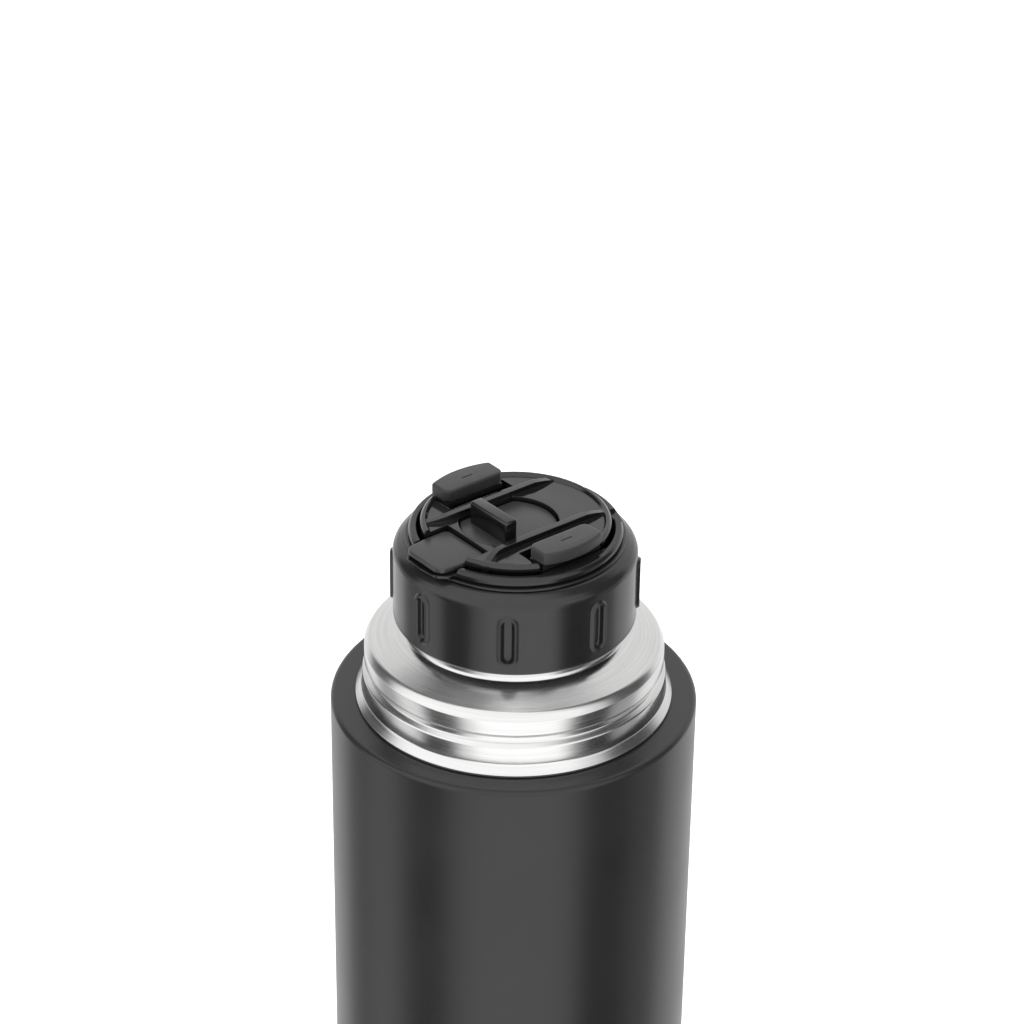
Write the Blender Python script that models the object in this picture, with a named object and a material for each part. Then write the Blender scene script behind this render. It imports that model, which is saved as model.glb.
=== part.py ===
"""Vacuum flask with a screw-in pouring stopper, as separate solids.

Frame: origin under the centre of the base, +Z up, the pouring spout towards -Y.
The flask stands closed. Units are metres. Stopper parts are drawn in a frame whose
zero is the collar's lower edge, and cover parts in one whose zero is the cover's rim.
"""
import math

import bmesh
import bpy
from mathutils import Matrix, Vector

# Clearances
GAP = 0.0003
SLIDE_GAP = 0.0004

# Steps round a turned piece
SEG_BODY = 40
SEG_STOPPER = 40
SEG_SMALL = 20
SEG_PIN = 10

# Outer shell
BODY_RADIUS = 0.0430
BODY_TOP = 0.2330
BODY_EDGE = 0.0030
FOOT_EDGE = 0.0020
FOOT_WIDTH = 0.0024
SHELL_WALL = 0.0006

# Bare steel shoulder and neck
FLARE_MARGIN = 0.0059
SEAT_STEP = 0.0001
SHOULDER_MARGIN = 0.0080
SHOULDER_RISE = 0.0148
NECK_RADIUS = 0.0256
NECK_HEIGHT = 0.0339
LIP_BARE = 0.0009
GROOVE_DEPTH = 0.0007
THREAD_PITCH = 0.0072
STEEL_WALL = 0.00045

# Inner liner
MOUTH_MARGIN = 0.00195
LEDGE_DEPTH = 0.0255
THROAT_LENGTH = 0.0020
LINER_MARGIN = 0.0046
LINER_SHOULDER = 0.0190
LINER_FLOOR = 0.0140
FOIL_GAP = 0.0006
FOIL_WALL = 0.0003

# Base
BASE_WALL = 0.0008
BASE_DISH = 0.0043
BASE_RISE = 0.0011
SEAL_RADIUS = 0.0019
CAP_RISE = 0.0008
CAP_WALL = 0.0018
GETTER_RADIUS = 0.0050
GETTER_HEIGHT = 0.0025
GETTER_OFFSET = 0.0150

# Stopper, measured up from the collar's lower edge
COLLAR_MARGIN = 0.0026
COLLAR_DROP = 0.0030
COLLAR_DOME = 0.0032
GRIP_COUNT = 8
GRIP_WIDTH = 0.0042
GRIP_HEIGHT = 0.0128
GRIP_MIDDLE = 0.0091
GRIP_PROUD = 0.0007
GRIP_SUNK = 0.0008
GRIP_BORDER = 0.0009
GRIP_TURN = 3.0
RIM_DROP = 0.0020
RIM_MARGIN = 0.0036
RIM_DEPTH = 0.0018
RIM_WALL = 0.0018
FLAT_MARGIN = 0.0023
BOWL_LEDGE_DROP = 0.0103
BOWL_STEP = 0.0012
BOWL_FLOOR = 0.0080
BOWL_FLOOR_WALL = 0.0015
SNAP_RING_WALL = 0.0005
STOP_FLANGE_TOP = 0.0142
STOP_FLANGE_WALL = 0.0012
PLUG_GROOVE_DEPTH = 0.0015
PLUG_GROOVE_HEIGHT = 0.0013
FLANGE_MARGIN = 0.00265
FLANGE_TOP = -0.0100
FLANGE_WALL = 0.0029
WAIST_STEP = 0.0030
PLUG_STEP = 0.0040
PLUG_END_HEIGHT = 0.0050
SPOUT_WIDTH = 0.0148
SPOUT_REACH = 0.0030
SPOUT_CHANNEL = 0.0090
SPOUT_FLOOR_DROP = 0.0016
SPOUT_SIDE_DROP = 0.0012
NOTCH_WIDTH = 0.0046

# Gasket
GASKET_INSET = 0.0006
GASKET_TAPER = 0.0026
GASKET_HOOK = 0.0023
GASKET_LIP = 0.0010

# Drink valve
BORE_RADIUS = 0.0050
WEB_TOP = -0.0065
WEB_WALL = 0.0015
FLOW_HOLE = 0.0009
GUIDE_RADIUS = 0.00705
GUIDE_TOP = 0.01655
BOOT_RADIUS = 0.0032
BOOT_KNOB = 0.0021
BOOT_TOP = 0.0214
STEM_RADIUS = 0.0012
VALVE_DISC_RADIUS = 0.0070
VALVE_DISC_WALL = 0.0017
VALVE_COIL = 0.0026
VALVE_WIRE = 0.0006

# Cover insert, measured up from its rim
COVER_RISE = 0.0252
COVER_MARGIN = 0.0008
COVER_PLATE_TOP = -0.0006
COVER_PLATE_WALL = 0.0016
SKIRT_MARGIN = 0.0016
SKIRT_WALL = 0.0016
SKIRT_DEPTH = 0.0108
RIB_INNER = 0.0086
RIB_WALL = 0.0016
RIB_TOP = 0.0008
RIB_FLAT = 0.0125
RIB_DEPTH = 0.0090
WELL_BRIDGE = 0.0018
WELL_REAR = 0.0095
KEY_TOP = -0.0008
KEY_LIP = 0.0011
FIN_LENGTH = 0.0133
FIN_WALL = 0.0025
FIN_TOP = 0.0041
FIN_PLACE = -0.0065
TONGUE_WIDTH = 0.0140
TONGUE_REACH = 0.0050
TONGUE_ROOT = 0.0077
TONGUE_WALL = 0.0014
TONGUE_TOP = -0.0015

# Latches
EAR_ROOM = 0.000387
PIVOT_DROP = 0.0130
PIN_RADIUS = 0.0010
EAR_RADIUS = 0.0022
EAR_WALL = 0.0016
EAR_INNER = 0.0086
LATCH_MARGIN = 0.0009
LATCH_WALL = 0.0022
LATCH_HOOK_DROP = 0.0061
BUTTON_LENGTH = 0.0175
BUTTON_CLEAR = 0.0046
BUTTON_INSET = 0.0005
BUTTON_TOP = 0.0026
BUTTON_WALL = 0.0030
BUTTON_ROOM = 0.0024
SPRING_RADIUS = 0.0016
SPRING_WIRE = 0.0005

# Sizes that follow
FLARE_RADIUS = BODY_RADIUS - FLARE_MARGIN
SHOULDER_RADIUS = BODY_RADIUS - SHOULDER_MARGIN
LINER_RADIUS = BODY_RADIUS - LINER_MARGIN
MOUTH_RADIUS = NECK_RADIUS - MOUTH_MARGIN
COLLAR_RADIUS = NECK_RADIUS + COLLAR_MARGIN
RIM_RADIUS = COLLAR_RADIUS - RIM_MARGIN
BOWL_RADIUS = RIM_RADIUS - RIM_WALL
BOWL_FLAT = BOWL_RADIUS - FLAT_MARGIN
BOWL_LOWER_RADIUS = BOWL_RADIUS - BOWL_STEP
FLANGE_RADIUS = MOUTH_RADIUS - FLANGE_MARGIN
PLUG_BARREL_RADIUS = FLANGE_RADIUS - WAIST_STEP
PLUG_RADIUS = FLANGE_RADIUS - PLUG_STEP
GASKET_RADIUS = FLANGE_RADIUS - GASKET_INSET
GASKET_FOOT_RADIUS = GASKET_RADIUS - GASKET_TAPER
GASKET_HOLE = PLUG_RADIUS - GASKET_HOOK
COVER_RADIUS = BOWL_RADIUS - COVER_MARGIN
SKIRT_RADIUS = BOWL_RADIUS - SKIRT_MARGIN
EAR_CORNER = math.sqrt((BOWL_LOWER_RADIUS - EAR_ROOM) ** 2 - (EAR_INNER + EAR_WALL) ** 2)
PIVOT_X = EAR_CORNER - EAR_RADIUS
LATCH_FACE = BOWL_FLAT - LATCH_MARGIN
RIB_OUTER = RIB_INNER + RIB_WALL
BUTTON_INNER = RIB_OUTER + BUTTON_CLEAR
BUTTON_RADIUS = BOWL_RADIUS - BUTTON_INSET
SPOUT_TIP = RIM_RADIUS + SPOUT_REACH
TONGUE_TIP = COVER_RADIUS + TONGUE_REACH
TONGUE_BACK = COVER_RADIUS - TONGUE_ROOT
WELL_FRONT = WELL_BRIDGE - TONGUE_BACK
RIM_TOP = COVER_RISE - RIM_DROP
BOWL_LEDGE = RIM_TOP - BOWL_LEDGE_DROP
COLLAR_HEIGHT = RIM_TOP - COLLAR_DROP
COLLAR_WALL_HEIGHT = COLLAR_HEIGHT - COLLAR_DOME
SPOUT_FLOOR = RIM_TOP - SPOUT_FLOOR_DROP
SPOUT_SIDES = RIM_TOP - SPOUT_SIDE_DROP
LIP_Z = BODY_TOP + NECK_HEIGHT
LINER_OUT = MOUTH_RADIUS + STEEL_WALL
NECK_BORE = LINER_OUT + GAP
COLLAR_BORE = NECK_RADIUS + SLIDE_GAP + 0.0002
LEDGE_Z = LIP_Z - LEDGE_DEPTH
FLANGE_FOOT = FLANGE_TOP - FLANGE_WALL
PLUG_END = FLANGE_FOOT - PLUG_END_HEIGHT
COLLAR_Z = LEDGE_Z + GAP - FLANGE_FOOT
GASKET_TOP = FLANGE_FOOT - GAP
GASKET_FOOT = PLUG_END - GAP - GASKET_LIP
GASKET_BORE = PLUG_RADIUS + GAP
COVER_Z = COLLAR_Z + COVER_RISE
RIM_SEAT = RIM_TOP - RIM_DEPTH
SNAP_SEAT_RADIUS = RIM_RADIUS - 0.0009
BARREL_RADIUS = COLLAR_RADIUS - 0.0037
NECK_FIT_RADIUS = MOUTH_RADIUS - 0.00045
KEY_FOOT = BOOT_TOP + GAP - COVER_RISE
TOOL_REACH = COLLAR_RADIUS + 0.0040


# ---------------------------------------------------------------- modelling helpers

def clear_scene():
    for item in list(bpy.data.objects):
        bpy.data.objects.remove(item, do_unlink=True)


def add_mesh(name, bm, location=(0, 0, 0)):
    bmesh.ops.recalc_face_normals(bm, faces=bm.faces)
    mesh = bpy.data.meshes.new(name)
    bm.to_mesh(mesh)
    bm.free()
    item = bpy.data.objects.new(name, mesh)
    item.location = location
    bpy.context.scene.collection.objects.link(item)
    return item


def spin_outline(bm, outline, segments, closed):
    verts = [bm.verts.new((radius, 0.0, height)) for radius, height in outline]
    pairs = list(zip(verts, verts[1:]))
    if closed:
        pairs.append((verts[-1], verts[0]))
    edges = [bm.edges.new(pair) for pair in pairs]
    bmesh.ops.spin(bm, geom=verts + edges, cent=(0, 0, 0), axis=(0, 0, 1),
                   angle=math.tau, steps=segments, use_merge=True)
    bmesh.ops.remove_doubles(bm, verts=bm.verts, dist=1e-7)


def turned_ring(name, outline, segments, location=(0, 0, 0)):
    """A closed outline that stays off the axis, turned all the way round."""
    bm = bmesh.new()
    spin_outline(bm, outline, segments, closed=True)
    return add_mesh(name, bm, location)


def turned_solid(name, outline, segments, location=(0, 0, 0)):
    """An outline that starts and ends on the axis, turned all the way round."""
    bm = bmesh.new()
    spin_outline(bm, outline, segments, closed=False)
    return add_mesh(name, bm, location)


def prism(name, outline, axis, low, high, location=(0, 0, 0)):
    """A flat outline pushed along axis x, y or z from low to high."""
    place = {"x": lambda a, b, t: (t, a, b),
             "y": lambda a, b, t: (a, t, b),
             "z": lambda a, b, t: (a, b, t)}[axis]
    bm = bmesh.new()
    lower = [bm.verts.new(place(a, b, low)) for a, b in outline]
    upper = [bm.verts.new(place(a, b, high)) for a, b in outline]
    count = len(outline)
    for i in range(count):
        j = (i + 1) % count
        bm.faces.new((lower[i], lower[j], upper[j], upper[i]))
    bm.faces.new(lower)
    bm.faces.new(upper)
    return add_mesh(name, bm, location)


def block(name, low, high, location=(0, 0, 0)):
    outline = [(low[0], low[1]), (high[0], low[1]), (high[0], high[1]), (low[0], high[1])]
    return prism(name, outline, "z", low[2], high[2], location)


def arc(centre, radius, start, end, steps):
    """Points on an arc, angles in degrees, both ends included."""
    points = []
    for i in range(steps + 1):
        angle = math.radians(start + (end - start) * i / steps)
        points.append((centre[0] + radius * math.cos(angle), centre[1] + radius * math.sin(angle)))
    return points


def circle(centre, radius, steps):
    return arc(centre, radius, 0.0, 360.0, steps)[:-1]


def coil_spring(name, coil, wire, turns, length, location, along_x=False):
    """A closed tube along a helix of the given coil radius, starting at the location."""
    sides, per_turn = 4, 8
    steps = turns * per_turn
    bm = bmesh.new()
    rings = []
    for i in range(steps + 1):
        angle = math.tau * i / per_turn
        rise = wire / 2 + (length - wire) * i / steps
        out = Vector((math.cos(angle), math.sin(angle), 0))
        centre = out * coil + Vector((0, 0, rise))
        ring = []
        for k in range(sides):
            turn = math.tau * k / sides
            ring.append(bm.verts.new(centre + out * (math.cos(turn) * wire / 2)
                                     + Vector((0, 0, math.sin(turn) * wire / 2))))
        rings.append(ring)
    for first, second in zip(rings, rings[1:]):
        for k in range(sides):
            j = (k + 1) % sides
            bm.faces.new((first[k], first[j], second[j], second[k]))
    bm.faces.new(rings[0])
    bm.faces.new(rings[-1])
    if along_x:
        bmesh.ops.transform(bm, matrix=Matrix.Rotation(math.radians(90), 4, "Y"), verts=bm.verts)
    return add_mesh(name, bm, location)


def use_tool(target, tool, operation):
    tool.hide_render = True
    tool.display_type = "WIRE"
    step = target.modifiers.new(f"{operation.lower()}_{tool.name}", "BOOLEAN")
    step.operation = operation
    step.solver = "EXACT"
    step.object = tool


def cut(target, *tools):
    for tool in tools:
        use_tool(target, tool, "DIFFERENCE")


def unite(target, *tools):
    for tool in tools:
        use_tool(target, tool, "UNION")


def finish(item, colour, roughness, metallic=0.0, smooth_angle=30.0):
    material = bpy.data.materials.new(item.name)
    material.use_nodes = True
    shader = material.node_tree.nodes["Principled BSDF"]
    shader.inputs["Base Color"].default_value = (*colour, 1.0)
    shader.inputs["Roughness"].default_value = roughness
    shader.inputs["Metallic"].default_value = metallic
    item.data.materials.append(material)
    item.data.shade_smooth()
    item.data.set_sharp_from_angle(angle=math.radians(smooth_angle))
    return item


BLACK_COAT = (0.020, 0.020, 0.021)
BLACK_PLASTIC = (0.010, 0.010, 0.011)
RUBBER_GREY = (0.045, 0.045, 0.047)
GASKET_GREY = (0.035, 0.036, 0.038)
BARE_STEEL = (0.62, 0.62, 0.61)
FOIL_SILVER = (0.70, 0.70, 0.71)
WHITE_PLASTIC = (0.78, 0.78, 0.76)


# ---------------------------------------------------------------- flask

def outer_shell():
    """Tube with a rounded shoulder edge and a foot rolled under; open in the middle."""
    hole = SHOULDER_RADIUS + 0.0016
    foot = BODY_RADIUS - FOOT_EDGE
    seat = FLARE_RADIUS + GAP
    outline = [(hole, BODY_TOP - SEAT_STEP), (seat, BODY_TOP - SEAT_STEP), (seat, BODY_TOP)]
    outline += arc((BODY_RADIUS - BODY_EDGE, BODY_TOP - BODY_EDGE), BODY_EDGE, 90, 0, 4)
    outline += arc((foot, FOOT_EDGE), FOOT_EDGE, 0, -90, 2)
    outline += [(foot - FOOT_WIDTH, 0.0), (foot - FOOT_WIDTH, SHELL_WALL)]
    outline += arc((foot, FOOT_EDGE), FOOT_EDGE - SHELL_WALL, -90, 0, 1)
    outline += arc((BODY_RADIUS - BODY_EDGE, BODY_TOP - BODY_EDGE), BODY_EDGE - SHELL_WALL, 0, 90, 2)
    outline += [(hole, BODY_TOP - SHELL_WALL)]
    finish(turned_ring("outer_shell", outline, SEG_BODY), BLACK_COAT, 0.45)


def shoulder_neck():
    """Bare steel: neck with two rolled grooves, sloped shoulder, cup thread and flare."""
    top = LIP_Z - LIP_BARE
    top_radius = NECK_BORE + 0.0005
    upper_groove = BODY_TOP + 0.0296
    lower_groove = upper_groove - THREAD_PITCH
    root = NECK_RADIUS - GROOVE_DEPTH
    shoulder = BODY_TOP + SHOULDER_RISE
    cup_root = SHOULDER_RADIUS - GROOVE_DEPTH
    cup_groove = BODY_TOP + 0.0086
    stub = SHOULDER_RADIUS + 0.0013
    outline = [(top_radius, top), (top_radius + 0.0002, upper_groove + 0.0014)]
    outline += [(root - 0.0002, upper_groove + 0.0005), (root - 0.0002, upper_groove - 0.0005)]
    outline += [(NECK_RADIUS, upper_groove - 0.0014), (NECK_RADIUS, lower_groove + 0.0014)]
    outline += [(root, lower_groove + 0.0005), (root, lower_groove - 0.0005)]
    outline += [(NECK_RADIUS, lower_groove - 0.0014), (NECK_RADIUS, shoulder + 0.0040)]
    outline += [(NECK_RADIUS + 0.0012, shoulder + 0.0028), (SHOULDER_RADIUS - 0.0012, shoulder + 0.0004)]
    outline += [(SHOULDER_RADIUS, shoulder - 0.0006), (SHOULDER_RADIUS, cup_groove + 0.0017)]
    outline += [(cup_root, cup_groove + 0.0010), (cup_root, cup_groove - 0.0010)]
    outline += [(SHOULDER_RADIUS + 0.0003, cup_groove - 0.0018)]
    outline += [(SHOULDER_RADIUS + 0.0005, BODY_TOP + 0.0032), (FLARE_RADIUS - 0.0009, BODY_TOP + 0.0013)]
    outline += [(FLARE_RADIUS, BODY_TOP + GAP)]
    outline += [(stub, BODY_TOP + GAP), (stub, BODY_TOP - 0.0030)]
    outline += [(stub - STEEL_WALL, BODY_TOP - 0.0030), (stub - STEEL_WALL, BODY_TOP + 0.0012)]
    outline += [(cup_root - STEEL_WALL, shoulder - 0.0011)]
    outline += [(NECK_RADIUS + 0.0011, shoulder + 0.0020)]
    outline += [(root - STEEL_WALL, shoulder + 0.0036), (NECK_BORE, lower_groove - 0.0012)]
    outline += [(NECK_BORE, top)]
    finish(turned_ring("shoulder_neck", outline, SEG_BODY), BARE_STEEL, 0.28, 1.0)


def inner_liner():
    """Mouth tube with the lip, the ledge and cone that seat the stopper, and the wide tube."""
    seat_top = GASKET_RADIUS + GAP + 0.00005
    seat_foot = GASKET_FOOT_RADIUS + GAP + 0.00005
    seat_foot_z = COLLAR_Z + GASKET_FOOT
    throat_z = seat_foot_z - THROAT_LENGTH
    belly_z = throat_z - LINER_SHOULDER
    wall = STEEL_WALL
    inside = [(MOUTH_RADIUS, LIP_Z - 0.0002), (MOUTH_RADIUS, LEDGE_Z + 0.0008)]
    inside += [(MOUTH_RADIUS - 0.0008, LEDGE_Z), (seat_top, LEDGE_Z), (seat_foot, seat_foot_z)]
    inside += [(seat_foot, throat_z), (seat_foot + 0.0040, throat_z - 0.0030)]
    inside += [(LINER_RADIUS - 0.0060, belly_z + 0.0085), (LINER_RADIUS - 0.0012, belly_z + 0.0035)]
    inside += [(LINER_RADIUS, belly_z), (LINER_RADIUS, LINER_FLOOR)]
    outside = [(LINER_RADIUS + wall, LINER_FLOOR), (LINER_RADIUS + wall, belly_z)]
    outside += [(LINER_RADIUS - 0.0009, belly_z + 0.0040), (LINER_RADIUS - 0.0057, belly_z + 0.0089)]
    outside += [(seat_foot + 0.0040, throat_z - 0.0024), (seat_foot + wall, throat_z + 0.0003)]
    outside += [(seat_foot + wall, seat_foot_z - 0.0001), (seat_top + wall, LEDGE_Z - wall)]
    outside += [(MOUTH_RADIUS - 0.0004, LEDGE_Z - wall), (LINER_OUT, LEDGE_Z + 0.0006)]
    outside += [(LINER_OUT, LIP_Z - 0.0002), (LINER_OUT - 0.0002, LIP_Z)]
    finish(turned_ring("inner_liner", inside + outside, SEG_BODY), BARE_STEEL, 0.35, 1.0)


def liner_base():
    """Dished disc that closes the liner from below."""
    edge = LINER_RADIUS + STEEL_WALL
    top = LINER_FLOOR - GAP
    outline = [(0.0, top + 0.0026), (edge * 0.55, top + 0.0020), (edge * 0.90, top)]
    outline += [(edge, top), (edge, top - STEEL_WALL * 1.5), (edge * 0.90, top - STEEL_WALL * 1.5)]
    outline += [(edge * 0.55, top + 0.0013), (0.0, top + 0.0019)]
    finish(turned_solid("liner_base", outline, SEG_BODY), BARE_STEEL, 0.35, 1.0)


def foil_shield():
    """Heat shield wrapped round the liner inside the vacuum."""
    low = LINER_RADIUS + STEEL_WALL + FOIL_GAP
    high = low + FOIL_WALL
    foot, head = LINER_FLOOR + 0.0060, COLLAR_Z + GASKET_FOOT - LINER_SHOULDER - 0.0060
    outline = [(low, foot), (low, head), (high, head), (high, foot)]
    finish(turned_ring("foil_shield", outline, SEG_BODY), FOIL_SILVER, 0.30, 1.0)


def getter():
    """Gas-absorbing pellet capsule under the liner's base."""
    top = LINER_FLOOR - 0.0018
    outline = circle((GETTER_OFFSET, 0.0), GETTER_RADIUS, SEG_PIN)
    item = prism("getter", outline, "z", top - GETTER_HEIGHT, top)
    finish(item, (0.30, 0.30, 0.31), 0.5, 1.0)


def outer_base():
    """Dished steel bottom welded into the shell, with the pumping hole in its middle."""
    edge = BODY_RADIUS - SHELL_WALL - GAP
    low = BASE_RISE
    high = low + BASE_DISH
    wall_foot, wall_head = edge - 0.0047, edge - 0.0067
    hole = SEAL_RADIUS + GAP
    outline = [(hole, high + BASE_WALL), (wall_head + 0.0006, high + BASE_WALL)]
    outline += [(wall_foot + 0.0006, low + BASE_WALL), (edge, FOOT_EDGE + BASE_WALL), (edge, FOOT_EDGE)]
    outline += [(edge - 0.0009, low), (wall_foot, low), (wall_head, high), (hole, high)]
    finish(turned_ring("outer_base", outline, SEG_BODY), BARE_STEEL, 0.35, 1.0)


def vacuum_seal():
    """Stud that closes the pumping hole."""
    seat = BASE_RISE + BASE_DISH - GAP
    outline = [(0.0, seat + 0.0020), (SEAL_RADIUS, seat + 0.0020), (SEAL_RADIUS, seat)]
    outline += [(0.0040, seat), (0.0036, seat - 0.0008), (0.0, seat - 0.0008)]
    finish(turned_solid("vacuum_seal", outline, SEG_SMALL), (0.35, 0.36, 0.36), 0.4, 1.0)


def base_cap():
    """Plain disc that covers the seal from below."""
    edge = BODY_RADIUS - SHELL_WALL - GAP - 0.0055
    top = CAP_RISE + CAP_WALL
    outline = [(0.0, top), (edge - 0.0012, top), (edge, CAP_RISE + 0.0004)]
    outline += [(edge - 0.0004, CAP_RISE), (0.0, CAP_RISE)]
    finish(turned_solid("base_cap", outline, SEG_BODY), BLACK_COAT, 0.5)


# ---------------------------------------------------------------- stopper

def plug_gasket():
    """Tapered ring with an inward lip that hooks under the plug."""
    outline = [(GASKET_BORE, GASKET_TOP), (GASKET_RADIUS - 0.0002, GASKET_TOP)]
    outline += [(GASKET_RADIUS, GASKET_TOP - 0.0003), (GASKET_FOOT_RADIUS, GASKET_FOOT)]
    outline += [(GASKET_HOLE, GASKET_FOOT), (GASKET_HOLE, GASKET_FOOT + GASKET_LIP)]
    outline += [(GASKET_BORE, GASKET_FOOT + GASKET_LIP)]
    item = turned_ring("plug_gasket", outline, SEG_STOPPER, (0, 0, COLLAR_Z))
    finish(item, GASKET_GREY, 0.6)


def plug_outline():
    """Half section of the plug: rim, barrel, neck fit, gasket end, bore and bowl."""
    seat = RIM_SEAT - 0.0012
    groove_foot = FLANGE_TOP
    groove_head = FLANGE_TOP + PLUG_GROOVE_HEIGHT
    groove = PLUG_BARREL_RADIUS - PLUG_GROOVE_DEPTH
    stop_foot = STOP_FLANGE_TOP - STOP_FLANGE_WALL
    floor_under = BOWL_FLOOR - BOWL_FLOOR_WALL
    outline = [(BOWL_RADIUS, RIM_TOP), (RIM_RADIUS - 0.0004, RIM_TOP), (RIM_RADIUS, RIM_TOP - 0.0005)]
    outline += [(RIM_RADIUS, RIM_SEAT), (SNAP_SEAT_RADIUS, RIM_SEAT), (SNAP_SEAT_RADIUS, seat)]
    outline += [(BARREL_RADIUS, seat), (BARREL_RADIUS, STOP_FLANGE_TOP)]
    outline += [(NECK_RADIUS, STOP_FLANGE_TOP), (NECK_RADIUS, stop_foot), (NECK_FIT_RADIUS, stop_foot)]
    outline += [(NECK_FIT_RADIUS, floor_under), (PLUG_BARREL_RADIUS, floor_under - 0.0012)]
    outline += [(PLUG_BARREL_RADIUS, groove_head), (groove, groove_head), (groove, groove_foot)]
    outline += [(FLANGE_RADIUS, groove_foot), (FLANGE_RADIUS, FLANGE_FOOT), (PLUG_RADIUS, FLANGE_FOOT)]
    outline += [(PLUG_RADIUS, PLUG_END + 0.0005), (PLUG_RADIUS - 0.0005, PLUG_END)]
    outline += [(BORE_RADIUS, PLUG_END), (BORE_RADIUS, WEB_TOP - WEB_WALL)]
    outline += [(STEM_RADIUS + SLIDE_GAP, WEB_TOP - WEB_WALL), (STEM_RADIUS + SLIDE_GAP, WEB_TOP)]
    outline += [(BORE_RADIUS, WEB_TOP), (BORE_RADIUS, BOWL_FLOOR), (BOWL_LOWER_RADIUS, BOWL_FLOOR)]
    outline += [(BOWL_LOWER_RADIUS, BOWL_LEDGE), (BOWL_RADIUS, BOWL_LEDGE)]
    return outline


def bowl_flat(side):
    """Straight wall that closes off one side of the upper bowl."""
    reach = BOWL_RADIUS + 0.0008
    half = math.degrees(math.acos(BOWL_FLAT / reach))
    outline = arc((0, 0), reach, -half, half, 6)
    outline = [(side * x, y) for x, y in outline]
    name = "tool_flat_right" if side > 0 else "tool_flat_left"
    return prism(name, outline, "z", BOWL_LEDGE, RIM_TOP - 0.0001, (0, 0, COLLAR_Z))


def latch_recess(side):
    """Pocket in the straight wall that faces the latch hook."""
    middle = COVER_RISE - LATCH_HOOK_DROP
    ends = sorted((side * (BOWL_FLAT - 0.0005), side * (BOWL_FLAT + 0.0012)))
    name = "tool_recess_right" if side > 0 else "tool_recess_left"
    return block(name, (ends[0], -0.0055, middle - 0.0012), (ends[1], 0.0055, middle + 0.0012),
                 (0, 0, COLLAR_Z))


def flow_holes():
    bm = bmesh.new()
    for i in range(4):
        angle = math.radians(45 + 90 * i)
        place = Matrix.Translation((0.0033 * math.cos(angle), 0.0033 * math.sin(angle),
                                    WEB_TOP - WEB_WALL / 2))
        bmesh.ops.create_cone(bm, cap_ends=True, segments=8, radius1=FLOW_HOLE, radius2=FLOW_HOLE,
                              depth=WEB_WALL * 2, matrix=place)
    return add_mesh("tool_flow_holes", bm, (0, 0, COLLAR_Z))


def plug_body():
    """Bowl with two straight sides, pouring spout, flange and gasket end."""
    frame = (0, 0, COLLAR_Z)
    item = turned_ring("plug_body", plug_outline(), SEG_STOPPER, frame)
    unite(item, bowl_flat(1), bowl_flat(-1))
    half = SPOUT_WIDTH / 2
    lip = [(-half, -BOWL_RADIUS + 0.0012), (-half, -BARREL_RADIUS - 0.0006), (-half * 0.62, -SPOUT_TIP)]
    lip += [(half * 0.62, -SPOUT_TIP), (half, -BARREL_RADIUS - 0.0006), (half, -BOWL_RADIUS + 0.0012)]
    unite(item, prism("tool_spout", lip, "z", RIM_SEAT - 0.0001, SPOUT_SIDES + 0.0004, frame))
    near = -BOWL_RADIUS + 0.0045
    above = RIM_TOP + 0.0068
    opening = block("tool_spout_opening", (-half - GAP, -TOOL_REACH, SPOUT_SIDES),
                    (half + GAP, near, above), frame)
    channel = block("tool_spout_channel", (-SPOUT_CHANNEL / 2, -TOOL_REACH, SPOUT_FLOOR),
                    (SPOUT_CHANNEL / 2, near, above), frame)
    notch = block("tool_rim_notch", (-0.0060 - NOTCH_WIDTH / 2, BOWL_RADIUS - 0.0028, RIM_TOP - 0.0012),
                  (-0.0060 + NOTCH_WIDTH / 2, TOOL_REACH, above), frame)
    cut(item, opening, channel, notch, latch_recess(1), latch_recess(-1), flow_holes())
    finish(item, BLACK_PLASTIC, 0.25)


def collar_snap_ring():
    """Ring in the plug's groove that keeps the collar on."""
    low = COLLAR_HEIGHT + GAP
    high = low + SNAP_RING_WALL
    inner, outer = SNAP_SEAT_RADIUS + GAP, RIM_RADIUS + 0.0009
    outline = [(inner, low), (inner, high), (outer - 0.0002, high), (outer, high - 0.0002), (outer, low)]
    item = turned_ring("collar_snap_ring", outline, SEG_STOPPER, (0, 0, COLLAR_Z))
    finish(item, BLACK_PLASTIC, 0.3)


def grip_collar():
    """Threaded collar with a domed shoulder and eight raised grips."""
    hole = BARREL_RADIUS + SLIDE_GAP
    roof = STOP_FLANGE_TOP + GAP
    ridge = COLLAR_BORE - 0.00025
    ridge_z = BODY_TOP + 0.0296 - COLLAR_Z
    outline = [(COLLAR_RADIUS - 0.0004, 0.0), (COLLAR_RADIUS, 0.0004), (COLLAR_RADIUS, COLLAR_WALL_HEIGHT)]
    outline += [(COLLAR_RADIUS - 0.0003, COLLAR_WALL_HEIGHT + 0.0008)]
    outline += [(COLLAR_RADIUS - 0.0010, COLLAR_WALL_HEIGHT + 0.0016)]
    outline += [(COLLAR_RADIUS - 0.0020, COLLAR_WALL_HEIGHT + 0.0025)]
    outline += [(COLLAR_RADIUS - 0.0030, COLLAR_HEIGHT), (hole, COLLAR_HEIGHT), (hole, roof)]
    outline += [(COLLAR_BORE, roof), (COLLAR_BORE, ridge_z + 0.0008), (ridge, ridge_z + 0.0003)]
    outline += [(ridge, ridge_z - 0.0003), (COLLAR_BORE, ridge_z - 0.0008), (COLLAR_BORE, 0.0)]
    item = turned_ring("grip_collar", outline, SEG_STOPPER, (0, 0, COLLAR_Z))
    for i in range(GRIP_COUNT):
        unite(item, grip_slug("tool_grip", i, 0.0, -COLLAR_RADIUS + 0.0009))
        cut(item, grip_slug("tool_grip_floor", i, GRIP_BORDER, -COLLAR_RADIUS + GRIP_SUNK))
    finish(item, BLACK_PLASTIC, 0.3)


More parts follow.
